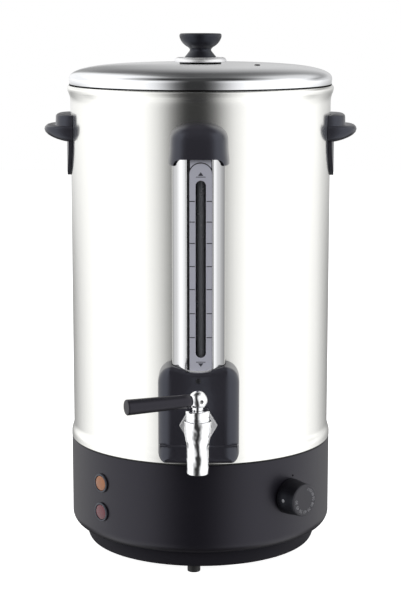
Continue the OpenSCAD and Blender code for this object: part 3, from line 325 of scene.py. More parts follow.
def edge_wear(tree, reach, breakup):
    """Mask of rubbed edges, broken up by noise."""
    high = signal(tree, "NewGeometry", "Pointiness") - 0.515
    patchy = noise(object_place(tree), breakup, 5)
    kept = (patchy - 0.38).do("MULTIPLY", 3.0, clamp=True)
    return [high.do("DIVIDE", reach, clamp=True) * kept]


def handling(tree, roughness, spread, scale):
    """Roughness that wanders with wiping and finger marks."""
    place = object_place(tree)
    both = noise(place, scale, 3) + noise(place, scale * 9.0, 5)
    return [roughness.do("ADD", (both - 1.0) * spread, clamp=True)]


def settled_dust(tree, amount):
    """Mask of the thin dust that lies on faces that look up."""
    up = axes(tree, "NewGeometry", "Normal")[2].do("MAXIMUM", 0.0).do("POWER", 3.0)
    patch = noise(object_place(tree), 420.0, 4)
    return [(up * patch).do("MULTIPLY", amount, clamp=True)]


def shared(name, inputs, outputs, build):
    """A node group. build takes its tree and input signals, and returns its output signals."""
    tree = bpy.data.node_groups.new(name, "ShaderNodeTree")
    for label, way in [(k, "INPUT") for k in inputs] + [(k, "OUTPUT") for k in outputs]:
        kind = "NodeSocketColor" if label == "Colour" else "NodeSocketFloat"
        socket = tree.interface.new_socket(name=label, in_out=way, socket_type=kind)
        if way == "INPUT":
            socket.default_value = inputs[label]
    given = tree.nodes.new("NodeGroupInput").outputs
    taken = tree.nodes.new("NodeGroupOutput").inputs
    for label, made in zip(outputs, build(tree, *[Signal(given[k]) for k in inputs])):
        feed(taken[label], made)
    return tree


DRIFT = shared("colour drift", {"Colour": (0.5, 0.5, 0.5, 1), "Amount": 0.1, "Scale": 30.0},
               ["Colour"], colour_drift)
GRAIN = shared("moulded grain", {"Scale": 1400.0}, ["Height"], moulded_grain)
BRUSH = shared("brush lines", {"Fineness": 2600.0, "Length": 14.0}, ["Height", "Streak"],
               brush_lines)
WEAR = shared("edge wear", {"Reach": 0.02, "Breakup": 160.0}, ["Mask"], edge_wear)
HANDLING = shared("handling", {"Roughness": 0.3, "Spread": 0.08, "Scale": 24.0},
                  ["Roughness"], handling)
DUST = shared("settled dust", {"Amount": 0.1}, ["Mask"], settled_dust)


# ---------- Materials ----------

MATERIALS = {}


def surface(name, colour, rough, metal, drift, spread, grain=None, brush=None, wear=None,
            dust=0.0, specular=0.5, tint=(1.0, 1.0, 1.0, 1.0), fixed=None):
    """A procedural finish, kept by its name. drift = (amount, scale); spread = (amount, scale);
    grain = (scale, depth); brush = (fineness, length, depth, tint);
    wear = (colour, reach, share); fixed sets more constants on the shader's own sockets."""
    material = bpy.data.materials.new(name)
    material.use_nodes = True
    tree = material.node_tree
    shader = tree.nodes["Principled BSDF"].inputs
    constants = {"Metallic": metal, "Specular IOR Level": specular, "Specular Tint": tint}
    for label, constant in {**constants, **(fixed or {})}.items():
        feed(shader[label], constant)
    tone = signal(tree, "Group", 0, {
        "Colour": rgba(colour), "Amount": drift[0], "Scale": drift[1]}, node_tree=DRIFT)
    roughness = signal(tree, "Group", 0, {
        "Roughness": rough, "Spread": spread[0], "Scale": spread[1]}, node_tree=HANDLING)
    height = None
    if brush:
        fineness, length, depth, tint = brush
        lines = add_node(tree, "Group", {"Fineness": fineness, "Length": length},
                         node_tree=BRUSH)
        height, streak = [Signal(lines.outputs[k]) for k in ("Height", "Streak")]
        tone = scaled(tone, streak.do("MULTIPLY_ADD", tint, 1.0))
        roughness = roughness + streak * 0.12
    if grain:
        scale, depth = grain
        height = signal(tree, "Group", 0, {"Scale": scale}, node_tree=GRAIN)
    if wear:
        worn_colour, reach, share = wear
        worn = signal(tree, "Group", 0, {"Reach": reach}, node_tree=WEAR)
        tone = mixed(tone, worn_colour, worn * share)
    if dust:
        film = signal(tree, "Group", 0, {"Amount": dust}, node_tree=DUST)
        tone = mixed(tone, (0.55, 0.54, 0.52), film)
        roughness = roughness.do("ADD", film, clamp=True)
    feed(shader["Base Color"], tone)
    feed(shader["Roughness"], roughness)
    if height is not None:
        feed(shader["Normal"], signal(tree, "Bump", 0, {
            "Strength": 0.6, "Distance": depth * MM, "Height": height}))
    MATERIALS[name] = material
    return material


def brushed_around(material, anisotropic):
    """Stretches a metal's highlights up and down, across its brush lines."""
    tree = material.node_tree
    shader = tree.nodes["Principled BSDF"].inputs
    feed(shader["Anisotropic"], anisotropic)
    feed(shader["Anisotropic Rotation"], 0.25)
    feed(shader["Tangent"], signal(tree, "Tangent", 0, direction_type="RADIAL", axis="Z"))


def painted_fold_shade(material):
    """Paints shade into a polished sheet's colour towards its outer folds: a painted reflection of
    the darker tank that it mirrors there.
    """
    tree = material.node_tree
    off = (axes(tree, "TexCoord", "Object")[0] + 0.0013).do("ABSOLUTE")
    fold = ramp(off * (1 / 0.03), [(0.517, 1.0), (0.593, 0.76), (0.66, 0.55), (0.717, 0.5),
                                   (0.783, 0.36), (0.85, 0.26)])
    tone = tree.nodes["Principled BSDF"].inputs["Base Color"]
    feed(tone, scaled(Signal(tone.links[0].from_socket), fold))


CHROME = (0.93, 0.935, 0.95)
GREY_BLACK = (0.16, 0.165, 0.175)
RUBBED = (GREY_BLACK, 0.06, 0.12)
BASE_RUBBED = (GREY_BLACK, 0.06, 0.15)
BLUISH = (0.77, 0.84, 1.0, 1.0)

brushed_around(surface("brushed_tank", (0.90, 0.898, 0.868), 0.20, 1.0, (0.04, 9.0), (0.05, 12.0),
                       brush=(2400.0, 16.0, 0.010, 0.10)), 0.55)
brushed_around(surface("polished_lid", (0.88, 0.892, 0.915), 0.13, 1.0, (0.04, 9.0), (0.05, 16.0),
                       brush=(2200.0, 22.0, 0.008, 0.08), dust=0.03), 0.35)
surface("bright_chrome", CHROME, 0.06, 1.0, (0.03, 60.0), (0.05, 60.0), (700.0, 0.004))
surface("cast_chrome", CHROME, 0.07, 1.0, (0.03, 60.0), (0.05, 60.0), (60.0, 3.6))
# The channel's colour carries painted shade towards its outer folds.
painted_fold_shade(surface("channel_sheet", CHROME, 0.10, 1.0, (0.03, 60.0), (0.05, 60.0),
                     (700.0, 0.003)))
surface("satin_trim", (0.93, 0.93, 0.94), 0.45, 1.0, (0.05, 90.0), (0.08, 90.0), (1200.0, 0.006))
surface("nut_faces", (0.90, 0.90, 0.91), 0.40, 1.0, (0.05, 90.0), (0.08, 90.0), (900.0, 0.01),
        wear=((0.97, 0.97, 0.97), 0.04, 0.4))
surface("blackened_steel", (0.045, 0.045, 0.05), 0.5, 1.0, (0.2, 200.0), (0.1, 90.0),
        (1500.0, 0.01), wear=((0.2, 0.2, 0.21), 0.05, 0.3))
surface("plain_steel", (0.72, 0.72, 0.71), 0.32, 1.0, (0.12, 40.0), (0.12, 50.0), (1500.0, 0.01),
        wear=((0.9, 0.9, 0.9), 0.03, 0.5))
surface("aluminium", (0.74, 0.75, 0.76), 0.45, 1.0, (0.1, 26.0), (0.14, 40.0), (900.0, 0.03))
surface("brass", (0.78, 0.60, 0.30), 0.30, 1.0, (0.16, 50.0), (0.12, 60.0), (1200.0, 0.01),
        wear=((0.95, 0.8, 0.5), 0.03, 0.5))
surface("copper", (0.80, 0.42, 0.28), 0.33, 1.0, (0.15, 60.0), (0.12, 60.0), (1300.0, 0.01))
surface("black_plastic", (0.034, 0.032, 0.041), 0.29, 0.0, (0.08, 40.0), (0.04, 30.0),
        (2400.0, 0.006), wear=RUBBED, dust=0.015, specular=0.66, tint=BLUISH)
surface("base_black", (0.0088, 0.0079, 0.0122), 0.35, 0.0, (0.08, 30.0), (0.05, 24.0),
        (1900.0, 0.012), wear=BASE_RUBBED, dust=0.02, specular=0.47, tint=(0.88, 0.86, 1.0, 1.0))
surface("pan_black", (0.021, 0.0195, 0.025), 0.55, 0.0, (0.08, 30.0), (0.05, 24.0),
        (1900.0, 0.012), wear=BASE_RUBBED, specular=0.10, tint=BLUISH)
surface("knob_black", (0.0110, 0.0102, 0.0140), 0.36, 0.0, (0.1, 60.0), (0.06, 60.0),
        (2400.0, 0.008), wear=RUBBED, dust=0.01, tint=BLUISH)
surface("dial_black", (0.0062, 0.0058, 0.0078), 0.40, 0.0, (0.1, 60.0), (0.06, 60.0),
        (2400.0, 0.008), wear=RUBBED, dust=0.01, specular=0.32, tint=BLUISH)
surface("knob_face", (0.043, 0.042, 0.052), 0.5, 0.0, (0.1, 60.0), (0.06, 60.0), (2000.0, 0.02),
        wear=RUBBED)
surface("dark_plastic", (0.012, 0.0115, 0.014), 0.45, 0.0, (0.2, 60.0), (0.1, 50.0),
        (2100.0, 0.02), wear=(GREY_BLACK, 0.05, 0.3))
surface("grey_panel", (0.60, 0.605, 0.70), 0.36, 0.0, (0.07, 40.0), (0.08, 50.0), (2600.0, 0.01),
        wear=((0.6, 0.6, 0.62), 0.04, 0.4))
surface("white_nylon", (0.78, 0.77, 0.73), 0.5, 0.0, (0.08, 60.0), (0.08, 60.0), (1500.0, 0.03))
surface("ceramic", (0.70, 0.66, 0.57), 0.55, 0.0, (0.1, 60.0), (0.1, 60.0), (1300.0, 0.05))
surface("rubber_black", (0.012, 0.012, 0.013), 0.62, 0.0, (0.25, 70.0), (0.1, 70.0),
        (1700.0, 0.05), dust=0.08)
surface("silicone", (0.62, 0.61, 0.58), 0.55, 0.0, (0.08, 60.0), (0.08, 60.0), (1500.0, 0.03))
surface("sight_glass", (0.38, 0.39, 0.42), 0.26, 0.0, (0.03, 90.0), (0.06, 90.0),
        fixed={"Transmission Weight": 0.5, "IOR": 1.47})
for lens, lens_tone in (("amber_lens", (0.54, 0.20, 0.075)), ("red_lens", (0.20, 0.032, 0.050))):
    surface(lens, lens_tone, 0.26, 0.0, (0.5, 260.0), (0.08, 90.0), (700.0, 0.08),
            fixed={"Coat Weight": 0.35, "Coat Roughness": 0.1})
surface("red_button", (0.42, 0.04, 0.035), 0.35, 0.0, (0.12, 90.0), (0.08, 90.0), (2000.0, 0.02))
surface("wire_sleeve", (0.30, 0.22, 0.16), 0.55, 0.0, (0.3, 12.0), (0.1, 90.0), (1300.0, 0.06))
# dot_ink is printed ink on the index dot, and painted shadow on the lid's edge line and on the ring
# under the knob plate.
for ink, ink_tone, ink_rough, ink_drift, ink_specular in (
        ("scale_ink", (0.05, 0.05, 0.065), 0.45, 0.3, 0.5),
        ("pale_ink", (0.40, 0.40, 0.43), 0.45, 0.2, 0.5),
        ("white_ink", (0.50, 0.51, 0.54), 0.4, 0.1, 0.5),
        ("dot_ink", (0.001, 0.001, 0.0012), 0.7, 0.1, 0.0)):
    surface(ink, ink_tone, ink_rough, 0.0, (ink_drift, 300.0), (0.1, 200.0), (3000.0, 0.01),
            specular=ink_specular)

# A CAD node that stays in view takes the finish of its own slot.
for kept in NODES.values():
    slot_name = kept.data.materials[0].name.split(".")[0]
    kept.data.materials[0] = MATERIALS[slot_name]


# ---------- Lines ----------

def oval(cx, cy, rx, ry, start, end, steps):
    """Points of an ellipse about (cx, cy), from one angle to another."""
    turns = [math.radians(start + (end - start) * i / steps) for i in range(steps + 1)]
    return [(cx + rx * math.cos(t), cy + ry * math.sin(t)) for t in turns]


def arc(cx, cy, r, start, end, steps):
    return oval(cx, cy, r, r, start, end, steps)


def rectangle(left, low, right, high):
    return [(left, low), (right, low), (right, high), (left, high)]


def lifted(level, *points):
    """Profile points whose heights count from a level."""
    return [(r, level + z) for r, z in points]


def eased(a, b, steps):
    """Points from a to b whose first value swings over smoothly while the second runs evenly."""
    return [(a[0] + (b[0] - a[0]) * (0.5 - 0.5 * math.cos(math.pi * i / steps)),
             a[1] + (b[1] - a[1]) * i / steps) for i in range(steps + 1)]


def curve_through(points, per_span):
    """A smooth line through the points."""
    ends = [points[0]] + list(points) + [points[-1]]
    line = []
    for i in range(1, len(ends) - 2):
        p0, p1, p2, p3 = ends[i - 1:i + 3]
        for k in range(per_span):
            t = k / per_span
            line.append(tuple(
                0.5 * (2 * b + (c - a) * t + (2 * a - 5 * b + 4 * c - d) * t * t
                       + (3 * b - a - 3 * c + d) * t ** 3)
                for a, b, c, d in zip(p0, p1, p2, p3)))
    line.append(tuple(points[-1]))
    return line


def squared_off(value, power):
    """A sine or cosine drawn out towards its ends, which makes a circle squarer."""
    return math.copysign(abs(value) ** power, value)


# ---------- Places ----------

def shift(x, y, z):
    return Matrix.Translation((x, y, z))


def spin(degrees, axis):
    return Matrix.Rotation(math.radians(degrees), 4, axis)


def around(radius, degrees):
    """A place on a ring about the urn's axis, in plan."""
    a = math.radians(degrees)
    return radius * math.cos(a), radius * math.sin(a)


def facing(az, r, z):
    """Placing on the urn's side: local Z outwards, X to the right and Y up."""
    a = math.radians(az)
    return Matrix((
        (math.cos(a), 0.0, math.sin(a), r * math.sin(a)),
        (math.sin(a), 0.0, -math.cos(a), -r * math.cos(a)),
        (0.0, 1.0, 0.0, z),
        (0.0, 0.0, 0.0, 1.0)))


# ---------- Shapes, as bmeshes in millimetres ----------

def moved(bm, place):
    bmesh.ops.transform(bm, matrix=place, verts=bm.verts)
    return bm


def walls(bm, pairs):
    """Faces between pairs of rings of vertices; corners on one point give triangles."""
    for a, b in pairs:
        count = len(a)
        for i in range(count):
            j = (i + 1) % count
            corners = list(dict.fromkeys((a[i], a[j], b[j], b[i])))
            if len(corners) > 2:
                bm.faces.new(corners)


def lathe(profile, steps=224, place=None, closed=True):
    """Turns a profile of (radius, height) about Z."""
    bm = bmesh.new()
    turns = [math.tau * i / steps for i in range(steps)]
    rings = []
    for r, z in profile:
        if r < 1e-6:
            rings.append([bm.verts.new((0.0, 0.0, z))] * steps)
        else:
            rings.append([bm.verts.new((r * math.cos(t), r * math.sin(t), z)) for t in turns])
    pairs = list(zip(rings, rings[1:]))
    if closed:
        pairs.append((rings[-1], rings[0]))
    walls(bm, pairs)
    return moved(bm, place) if place else bm


def skinned(rings):
    """A shape over rings of points, with flat ends."""
    bm = bmesh.new()
    made = [[bm.verts.new(point) for point in ring] for ring in rings]
    walls(bm, zip(made, made[1:]))
    bm.faces.new(made[0])
    bm.faces.new(made[-1])
    return bm


def prism(points, low, high, front=False):
    """Extrudes an outline: a plan (x, y) upwards, or a front view (x, z) along Y."""
    return skinned([[(a, level, b) if front else (a, b, level) for a, b in points]
                    for level in (low, high)])


def swelled(outline, back, front, side_r, top_r, low_r):
    """A block with its front edges rounded: by side_r at the sides, top_r above, low_r below."""
    steps = 8
    count = len(outline)
    rims = []
    for i in range(count):
        before, after = Vector(outline[i - 1]), Vector(outline[(i + 1) % count])
        along = (after - before).normalized()
        normal = Vector((along.y, -along.x))
        lift_r = top_r if normal.y > 0 else low_r
        share = normal.x * normal.x
        rims.append((Vector(outline[i]), normal, lift_r, side_r * share + lift_r * (1 - share)))
    rings = [[(p.x, back, p.y) for p, _, _, _ in rims]]
    for k in range(steps + 1):
        t = math.pi / 2 * k / steps
        inwards = 1 - math.cos(t)
        rings.append([(p.x - normal.x * side_r * inwards * abs(normal.x),
                       front + deep * (1 - math.sin(t)),
                       p.y - normal.y * lift_r * inwards) for p, normal, lift_r, deep in rims])
    return skinned(rings)


def joined(parts):
    """Several shapes in one."""
    whole = bmesh.new()
    for part in parts:
        mesh = bpy.data.meshes.new("part")
        part.to_mesh(mesh)
        part.free()
        whole.from_mesh(mesh)
        bpy.data.meshes.remove(mesh)
    return whole


def tank_plug(r, low, high):
    return lathe(rectangle(0, low, r, high))


def copied(mesh):
    """A mesh in metres as a shape in mm."""
    bm = bmesh.new()
    bm.from_mesh(mesh)
    bmesh.ops.scale(bm, vec=(1 / MM,) * 3, verts=bm.verts)
    return bm


# ---------- Objects and pieces ----------

def as_object(name, bm):
    """A shape in mm as an object in metres, with even normals."""
    bmesh.ops.scale(bm, vec=(MM, MM, MM), verts=bm.verts)
    bmesh.ops.recalc_face_normals(bm, faces=bm.faces)
    mesh = bpy.data.meshes.new(name)
    bm.to_mesh(mesh)
    bm.free()
    return put(name, mesh)


def shaped_mesh(made):
    """A new mesh with what an object's modifiers or text make of it."""
    bpy.context.view_layer.update()
    shaped = made.evaluated_get(bpy.context.evaluated_depsgraph_get())
    return bpy.data.meshes.new_from_object(shaped)


def combine(made, other, operation):
    """Cuts the other shape from the object, adds it, or keeps what both share."""
    tool = as_object("tool", other)
    step = made.modifiers.new("shape", "BOOLEAN")
    step.operation = operation
    step.solver = "EXACT"
    step.object = tool
    mesh = shaped_mesh(made)
    made.modifiers.clear()
    old = [made.data, tool.data]
    made.data = mesh
    bpy.data.objects.remove(tool)
    for unused in old:
        bpy.data.meshes.remove(unused)


def cut(made, *others):
    for other in others:
        combine(made, other, "DIFFERENCE")


def rounded_edges(made, width, segments=3, angle=32.0):
    step = made.modifiers.new("edges", "BEVEL")
    step.width = width * MM
    step.segments = segments
    step.limit_method = "ANGLE"
    step.angle_limit = math.radians(angle)
    step.harden_normals = True


def finish(made, body, nodes=(), slot=None, coat=None):
    """Smooth shading, body, the CAD nodes that the piece stands for, and the slot's finish
    or another coat."""
    made.data.shade_smooth()
    made.data.set_sharp_from_angle(angle=math.radians(40.0))
    made.data.materials.clear()
    made.data.materials.append(MATERIALS[coat or slot])
    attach(made, body)
    if nodes:
        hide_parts(*nodes)
    return made


def piece(name, bm, body, nodes=(), slot=None, coat=None):
    return finish(as_object(name, bm), body, nodes, slot, coat)


def refined(node, name, width, slot, segments=3, angle=32.0, coat=None):
    """A CAD solid's shape with its hard edges rounded, as a moulding or casting has them."""
    bm = bmesh.new()
    bm.from_mesh(NODES[node].data)
    bmesh.ops.remove_doubles(bm, verts=bm.verts, dist=0.002 * MM)
    bmesh.ops.dissolve_limit(bm, angle_limit=math.radians(0.8), verts=bm.verts, edges=bm.edges)
    bmesh.ops.scale(bm, vec=(1 / MM,) * 3, verts=bm.verts)
    made = as_object(name, bm)
    rounded_edges(made, width, segments, angle)
    finish(made, "urn", (node,), slot, coat)


# ---------- Tank and lid ----------

def build_tank():
    rim = curve_through([(TANK_R, 472.0), (135.15, 476.0), (135.7, 479.5), (136.7, 482.6),
                         (137.65, 485.2), (138.05, 487.4), (137.9, 489.0), (137.1, 490.3),
                         (135.8, 490.95), (134.6, RIM_Z)], 5)
    profile = ([(FOOT_IN_R, TANK_Z), (FOOT_R - 0.3, TANK_Z), (FOOT_R, TANK_Z + 0.3)]
               + eased((FOOT_R, 124.5), (TANK_R, FLARE_TOP), 14)
               + [(TANK_R, FLARE_TOP + 14 * i) for i in range(1, 24)] + rim
               + [(BORE_R, RIM_Z - 0.4), (BORE_R, FLARE_TOP), (FOOT_IN_R, 125.0)])
    piece("tank_wall", lathe(profile), "urn", ("tank_shell",), "brushed_tank")


def dome(wide, top):
    """Half the outline of the lid's flattened dome, from its middle out to its widest."""
    reach = [math.sin(math.pi / 2 * i / 56) for i in range(57)]
    return [(wide * s, LID_WIDE + (top - LID_WIDE) * max(0.0, 1 - s ** 4) ** 0.4)
            for s in reach]


def build_lid():
    thick = 0.8
    edge = [(135.95, 494.4), (135.72, 492.0), (135.55, 491.45), (135.3, LID_LOW),
            (135.0, LID_LOW), (134.8, 491.6)]
    inner = dome(LID_R - thick, CROWN_Z - thick)
    made = as_object("lid_dome", lathe(dome(LID_R, CROWN_Z) + edge + inner[::-1]))
    vent = shift(58, -40, 0)
    cut(made, lathe(rectangle(0, 505, 2.5, 520), 32, vent))
    finish(made, "lid", ("lid_shell",), "polished_lid")
    bush = lathe([(1.2, 510.9), (2.3, 510.9), (2.3, 512.2), (2.9, 512.4), (2.9, 512.7),
                  (2.4, 513.1), (1.6, 513.1), (1.2, 512.8)], 32, vent)
    piece("vent_bush", bush, "lid", coat="dot_ink")
    boss = lifted(CROWN_Z, (0, -0.4), (21.0, -0.4), (21.0, 1.4), (25.8, 1.4), (26.6, 1.5),
                  (27.0, 2.0), (26.95, 2.9), (26.5, 4.0), (25.6, 5.1))
    boss += lifted(KNOB_Z, (24.4, -0.2), (23.2, 0), (22.6, 0), (22.2, -0.35), (18.4, -0.35),
                   (18.0, 0), (0, 0))
    plate = piece("knob_plate", lathe(boss, 128), "lid", ("knob_boss",), "polished_lid",
                  "satin_trim")
    # A near-black ring under the knob plate's edge: painted shadow of the gap between the plate and
    # the lid.
    gap_shadow = rectangle(20.9, CROWN_Z - 0.3, 21.6, CROWN_Z + 1.45)
    piece("knob_gap_shadow_ring", lathe(gap_shadow, 128), "lid", coat="dot_ink")
    wide, tall = 21.8, 24.3
    side = curve_through([(wide * a, tall * b) for a, b in (
        (0.74, 0.03), (0.60, 0.18), (0.51, 0.30), (0.56, 0.40), (0.74, 0.51), (0.88, 0.64),
        (0.96, 0.77), (1, 0.88), (0.995, 0.95), (0.965, 0.99), (0.93, 1))], 5)
    knob = lifted(KNOB_Z, (0, 0), (0.73 * wide, 0), (0.74 * wide, 0.012 * tall), *side,
                  (0.90 * wide, tall - 0.05), (0.87 * wide, tall - 0.5),
                  (0.5 * wide, tall - 0.75), (0, tall - 0.8))
    grip = piece("lid_grip", lathe(knob, 128), "lid", ("lid_knob",), "black_plastic",
                 "knob_black")
    grip.visible_glossy = False
    plate.visible_glossy = False
    # A thin near-black ring at the lid's lower edge: painted shadow of the lid's edge on the tank's
    # rim.
    edge_shadow_ring = lathe([(134.95, LID_LOW), (135.75, LID_LOW), (136.0, 491.6), (136.0, 492.1),
                  (134.95, 492.1)])
    piece("lid_edge_shadow_line", edge_shadow_ring, "lid", coat="dot_ink")


# ---------- Base ----------

def build_base():
    bend_r, thick = 12, 2.5
    profile = ([(104.0, BASE_Z)] + arc(BASE_R - bend_r, BASE_Z + bend_r, bend_r, -90, 0, 16)
               + [(BASE_R, z) for z in (40.0, 60.0, 80.0, 100.0)]
               + arc(BASE_R - 1.2, LEDGE_Z - 1.2, 1.2, 0, 90, 6)
               + [(129.0, LEDGE_Z), (129.0, LEDGE_Z - thick), (BASE_R - thick, LEDGE_Z - thick)]
               + arc(BASE_R - bend_r, BASE_Z + bend_r, bend_r - thick, 0, -90, 10)
               + [(104.0, BASE_Z + thick)])
    made = as_object("base_skirt", lathe(profile))
    corners = ((26, 15, 0), (-26, 15, 90), (-26, -15, 180), (26, -15, 270))
    pad = [q for x, z, start in corners for q in arc(x, z, 4, start, start + 90, 6)]
    combine(made, moved(prism(pad, 132.4, 139.0, True), shift(0, 0, MAINS_Z)), "UNION")
    cut(made, *[lathe(rectangle(0, -12, hole, 12), 64, facing(az, BASE_R, z))
                for az, z, hole in ((LAMP_AZ, LAMP_Z[0], 8.6), (LAMP_AZ, LAMP_Z[1], 8.6),
                                    (DIAL_AZ, DIAL_Z, 5.2))])
    finish(made, "urn", ("base_housing",), "base_black")
    seal = lathe([(129.5, LEDGE_Z - 0.1), (137.0, LEDGE_Z - 0.1), (137.25, LEDGE_Z + 0.4),
                  (137.0, TANK_Z + 0.05), (129.5, TANK_Z + 0.05)])
    piece("foot_seal", seal, "urn", ("base_gasket",), "rubber_black")
    build_pan()
    foot = ([(0, 1.1), (3.4, 1.1), (4.0, 0.4)] + arc(5.0, 0.4, 0.4, -150, -90, 3)
            + arc(5.65, 1.0, 1.0, -90, 0, 5) + [(6.65, 4.0)] + arc(5.85, 7.7, 0.8, 0, 90, 5)
            + [(2.5, 8.5), (2.5, 10.5), (3.7, 10.5), (3.7, 12.6), (3.3, 13.0), (0, 13.0)])
    feet = [lathe(foot, 64, shift(*around(FEET_RING, -3 + 90 * i), 0)) for i in range(4)]
    piece("feet", joined(feet), "urn", ("rubber_feet",), "rubber_black")


def build_pan():
    """The dished plate under the base, with its vent slots and the holes for the feet, the
    base screws, the tie rods and the reset button."""
    outer = curve_through([(122.2, BASE_Z), (122.0, 20.0), (121.2, 15.0), (119.9, 11.5),
                           (118.0, 9.3), (115.6, 8.55), (113.0, PAN_Z)], 4)
    inner = [(113.0, 10.5), (115.2, 10.7), (117.0, 11.6), (118.2, 13.2), (119.0, 15.6),
             (120.1, 20.0), (120.2, BASE_Z)]
    made = as_object("base_pan", lathe(outer + [(0, PAN_Z), (0, PAN_Z + 2)] + inner))
    holes = []
    for count, ring, turn, hole in ((4, FEET_RING, -3, 2.6), (4, PAN_SCREW_RING, 45, 2.1),
                                    (4, ROD_RING, 22.5, 3.15), (1, RESET_RING, 90, 5.15)):
        holes += [lathe(rectangle(0, 6, hole, 13), 32,
                        shift(*around(ring, turn + 360 * i / count), 0)) for i in range(count)]
    holes += [moved(prism(rectangle(68.5, -1.5, 82.5, 1.5), 6, 13), spin(15 + 30 * i, "Z"))
              for i in range(12)]
    cut(made, joined(holes))
    finish(made, "urn", ("bottom_plate",), "base_black", "pan_black")


# ---------- Gauge ----------

def channel_plan(grow):
    """Plan of the folded channel's outside, with rounded folds."""
    half, front = 26.0 + grow, GAUGE_FRONT - grow
    bend = curve_through([(half - inwards, front + deeper) for inwards, deeper in (
        (0, 14.5), (0.4, 11.0), (1.6, 7.8), (3.6, 5.3), (6.2, 3.4), (9.0, 2.0), (11.5, 1.0),
        (14.0, 0.2))], 4)
    right = [(half, -126.5)] + bend
    return right + [(-x, y) for x, y in reversed(right)]


def build_channel():
    """Two folded sides. The right one's lip ends further from the middle and a little deeper."""
    parts = []
    for side, lip in ((-1, -11.3), (1, 13.6)):
        sheet = []
        for grow in (0.0, -1.0):
            line = channel_plan(grow)
            half = len(line) // 2
            line = line[:half] if side > 0 else line[half:][::-1]
            sheet.append([q for q in line if abs(q[0]) > abs(lip) + 0.4])
        front = GAUGE_FRONT + 0.4 * (abs(lip) - 11.3)
        hem = [(lip + side * 0.3, front + 0.15), (lip, front + 0.45), (lip, front + 0.9),
               (lip + side * 0.2, front + 1.15)]
        parts.append(prism(sheet[0] + hem + sheet[1][::-1], 207.5, 446.0))
    piece("gauge_channel_sheet", joined(parts), "urn", ("gauge_channel",), "bright_chrome",
          "channel_sheet")


def slot_hole(middle):
    """A cutter for the long slot in front of the sight tube."""
    wide, low, high = PANEL_SLOT
    r = wide / 2
    outline = arc(0, high - r, r, 0, 180, 14) + arc(0, low + r, r, 180, 360, 14)
    return prism([(x + middle, z) for x, z in outline], -170, -150, True)


def build_panel():
    half, high = 10.9, 424.0
    face = [(half, PANEL_LOW)] + arc(0, high - half, half, 0, 180, 24) + [(-half, PANEL_LOW)]
    made = as_object("gauge_scale_panel", prism(face, PANEL_FRONT, PANEL_FRONT + 2.6, True))
    cut(made, slot_hole(0.0))
    made.data.transform(shift(PANEL_X * MM, 0, 0))
    rounded_edges(made, 0.45)
    finish(made, "urn", ("gauge_panel",), "grey_panel")
    # The panel's carrier, a real part behind its edges, is coloured dark: painted shadow in the gaps
    # beside the panel.
    carrier_shade = as_object("gauge_carrier_shade", prism(
        [(15, PANEL_LOW), (15, 443), (-13, 443), (-13, PANEL_LOW)], GAUGE_FRONT + 2.4,
        GAUGE_FRONT + 3.4, True))
    cut(carrier_shade, slot_hole(PANEL_X))
    finish(carrier_shade, "urn", (), "dark_plastic")
    reach = half - 0.6
    edge = arc(PANEL_X, high - half, half + 0.9, 30, 150, 16)
    insert = prism(edge + [(PANEL_X - reach, 443), (PANEL_X + reach, 443)], GAUGE_FRONT + 2.1,
                   GAUGE_FRONT + 2.45, True)
    piece("scale_backing", insert, "urn", (), "grey_panel")
    shapes = []
    for z in (387.7, 367.8, 347.1, 324.6, 302.1, 278.5, 254.9):
        for side in (-1, 1):
            left, right = sorted((side * (half - 0.15), side * 5.6))
            shapes.append(rectangle(left + PANEL_X, z - 0.45, right + PANEL_X, z + 0.45))
    for z, way in ((413.6, 1), (228.0, -1)):
        shapes.append([(PANEL_X - 2.6, z - 1.4 * way), (PANEL_X + 2.6, z - 1.4 * way),
                       (PANEL_X, z + 2.2 * way)])
        shapes.append(rectangle(PANEL_X - 4.6, z - 2.9 * way, PANEL_X + 4.6, z - 2.2 * way))
    marks = [prism(shape, PANEL_FRONT - 0.06, PANEL_FRONT + 0.3, True) for shape in shapes]
    piece("scale_marks", joined(marks), "urn", (), "grey_panel", "scale_ink")
    tube = [(4.5, 186.3), (4.5, 439.7), (4.2, 440.0), (3.8, 440.0), (3.5, 439.7),
            (3.5, 186.3), (3.8, 186.0), (4.2, 186.0)]
    piece("gauge_glass", lathe(tube, 72, shift(PANEL_X, TUBE_Y, 0)), "urn", ("sight_tube",),
          "sight_glass")


def cap_shell():
    """The bell-shaped cap: rounded U sections that close in over the top, each with half its
    width, its height and its front."""
    half, shoulder, rise = 29.5, 443.0, 18.0
    lip = CAP_LOW + 0.9
    levels = [(half - 0.6, CAP_LOW, HOUSING_FRONT + 0.8), (half + 0.3, lip, HOUSING_FRONT)]
    levels += [(28.6 + 1.7 * (1 - i / 6) ** 2, lip + (shoulder - lip) * i / 6, HOUSING_FRONT)
               for i in range(1, 7)]
    for i in range(1, 17):
        t = math.radians(89.0 * i / 16)
        levels.append((28.6 * math.cos(t) ** 0.75, shoulder + rise * math.sin(t) ** 0.85,
                       HOUSING_FRONT + 17.0 * (1 - math.cos(t))))
    turns = [math.pi * k / 60 for k in range(61)]
    return skinned([[(squared_off(math.cos(t), 0.5) * width,
                      IN_TANK_Y + (front - IN_TANK_Y) * squared_off(math.sin(t), 0.5), z)
                     for t in turns] for width, z, front in levels])


def build_cap():
    right = lifted(CAP_LOW, (24.6, -3), (24.5, 0.3), (23.9, 2.6), (22.6, 4.6), (20.6, 6.1),
                   (17.6, 6.8))
    arch = right + [(-x, z) for x, z in reversed(right)]
    made = as_object("gauge_cap", cap_shell())
    cut(made, tank_plug(SKIN_R, 400, 480), prism(channel_plan(0.3), 410, 446.3),
        prism(arch, -176, -150, True))
    finish(made, "urn", ("gauge_top_cap",), "black_plastic")


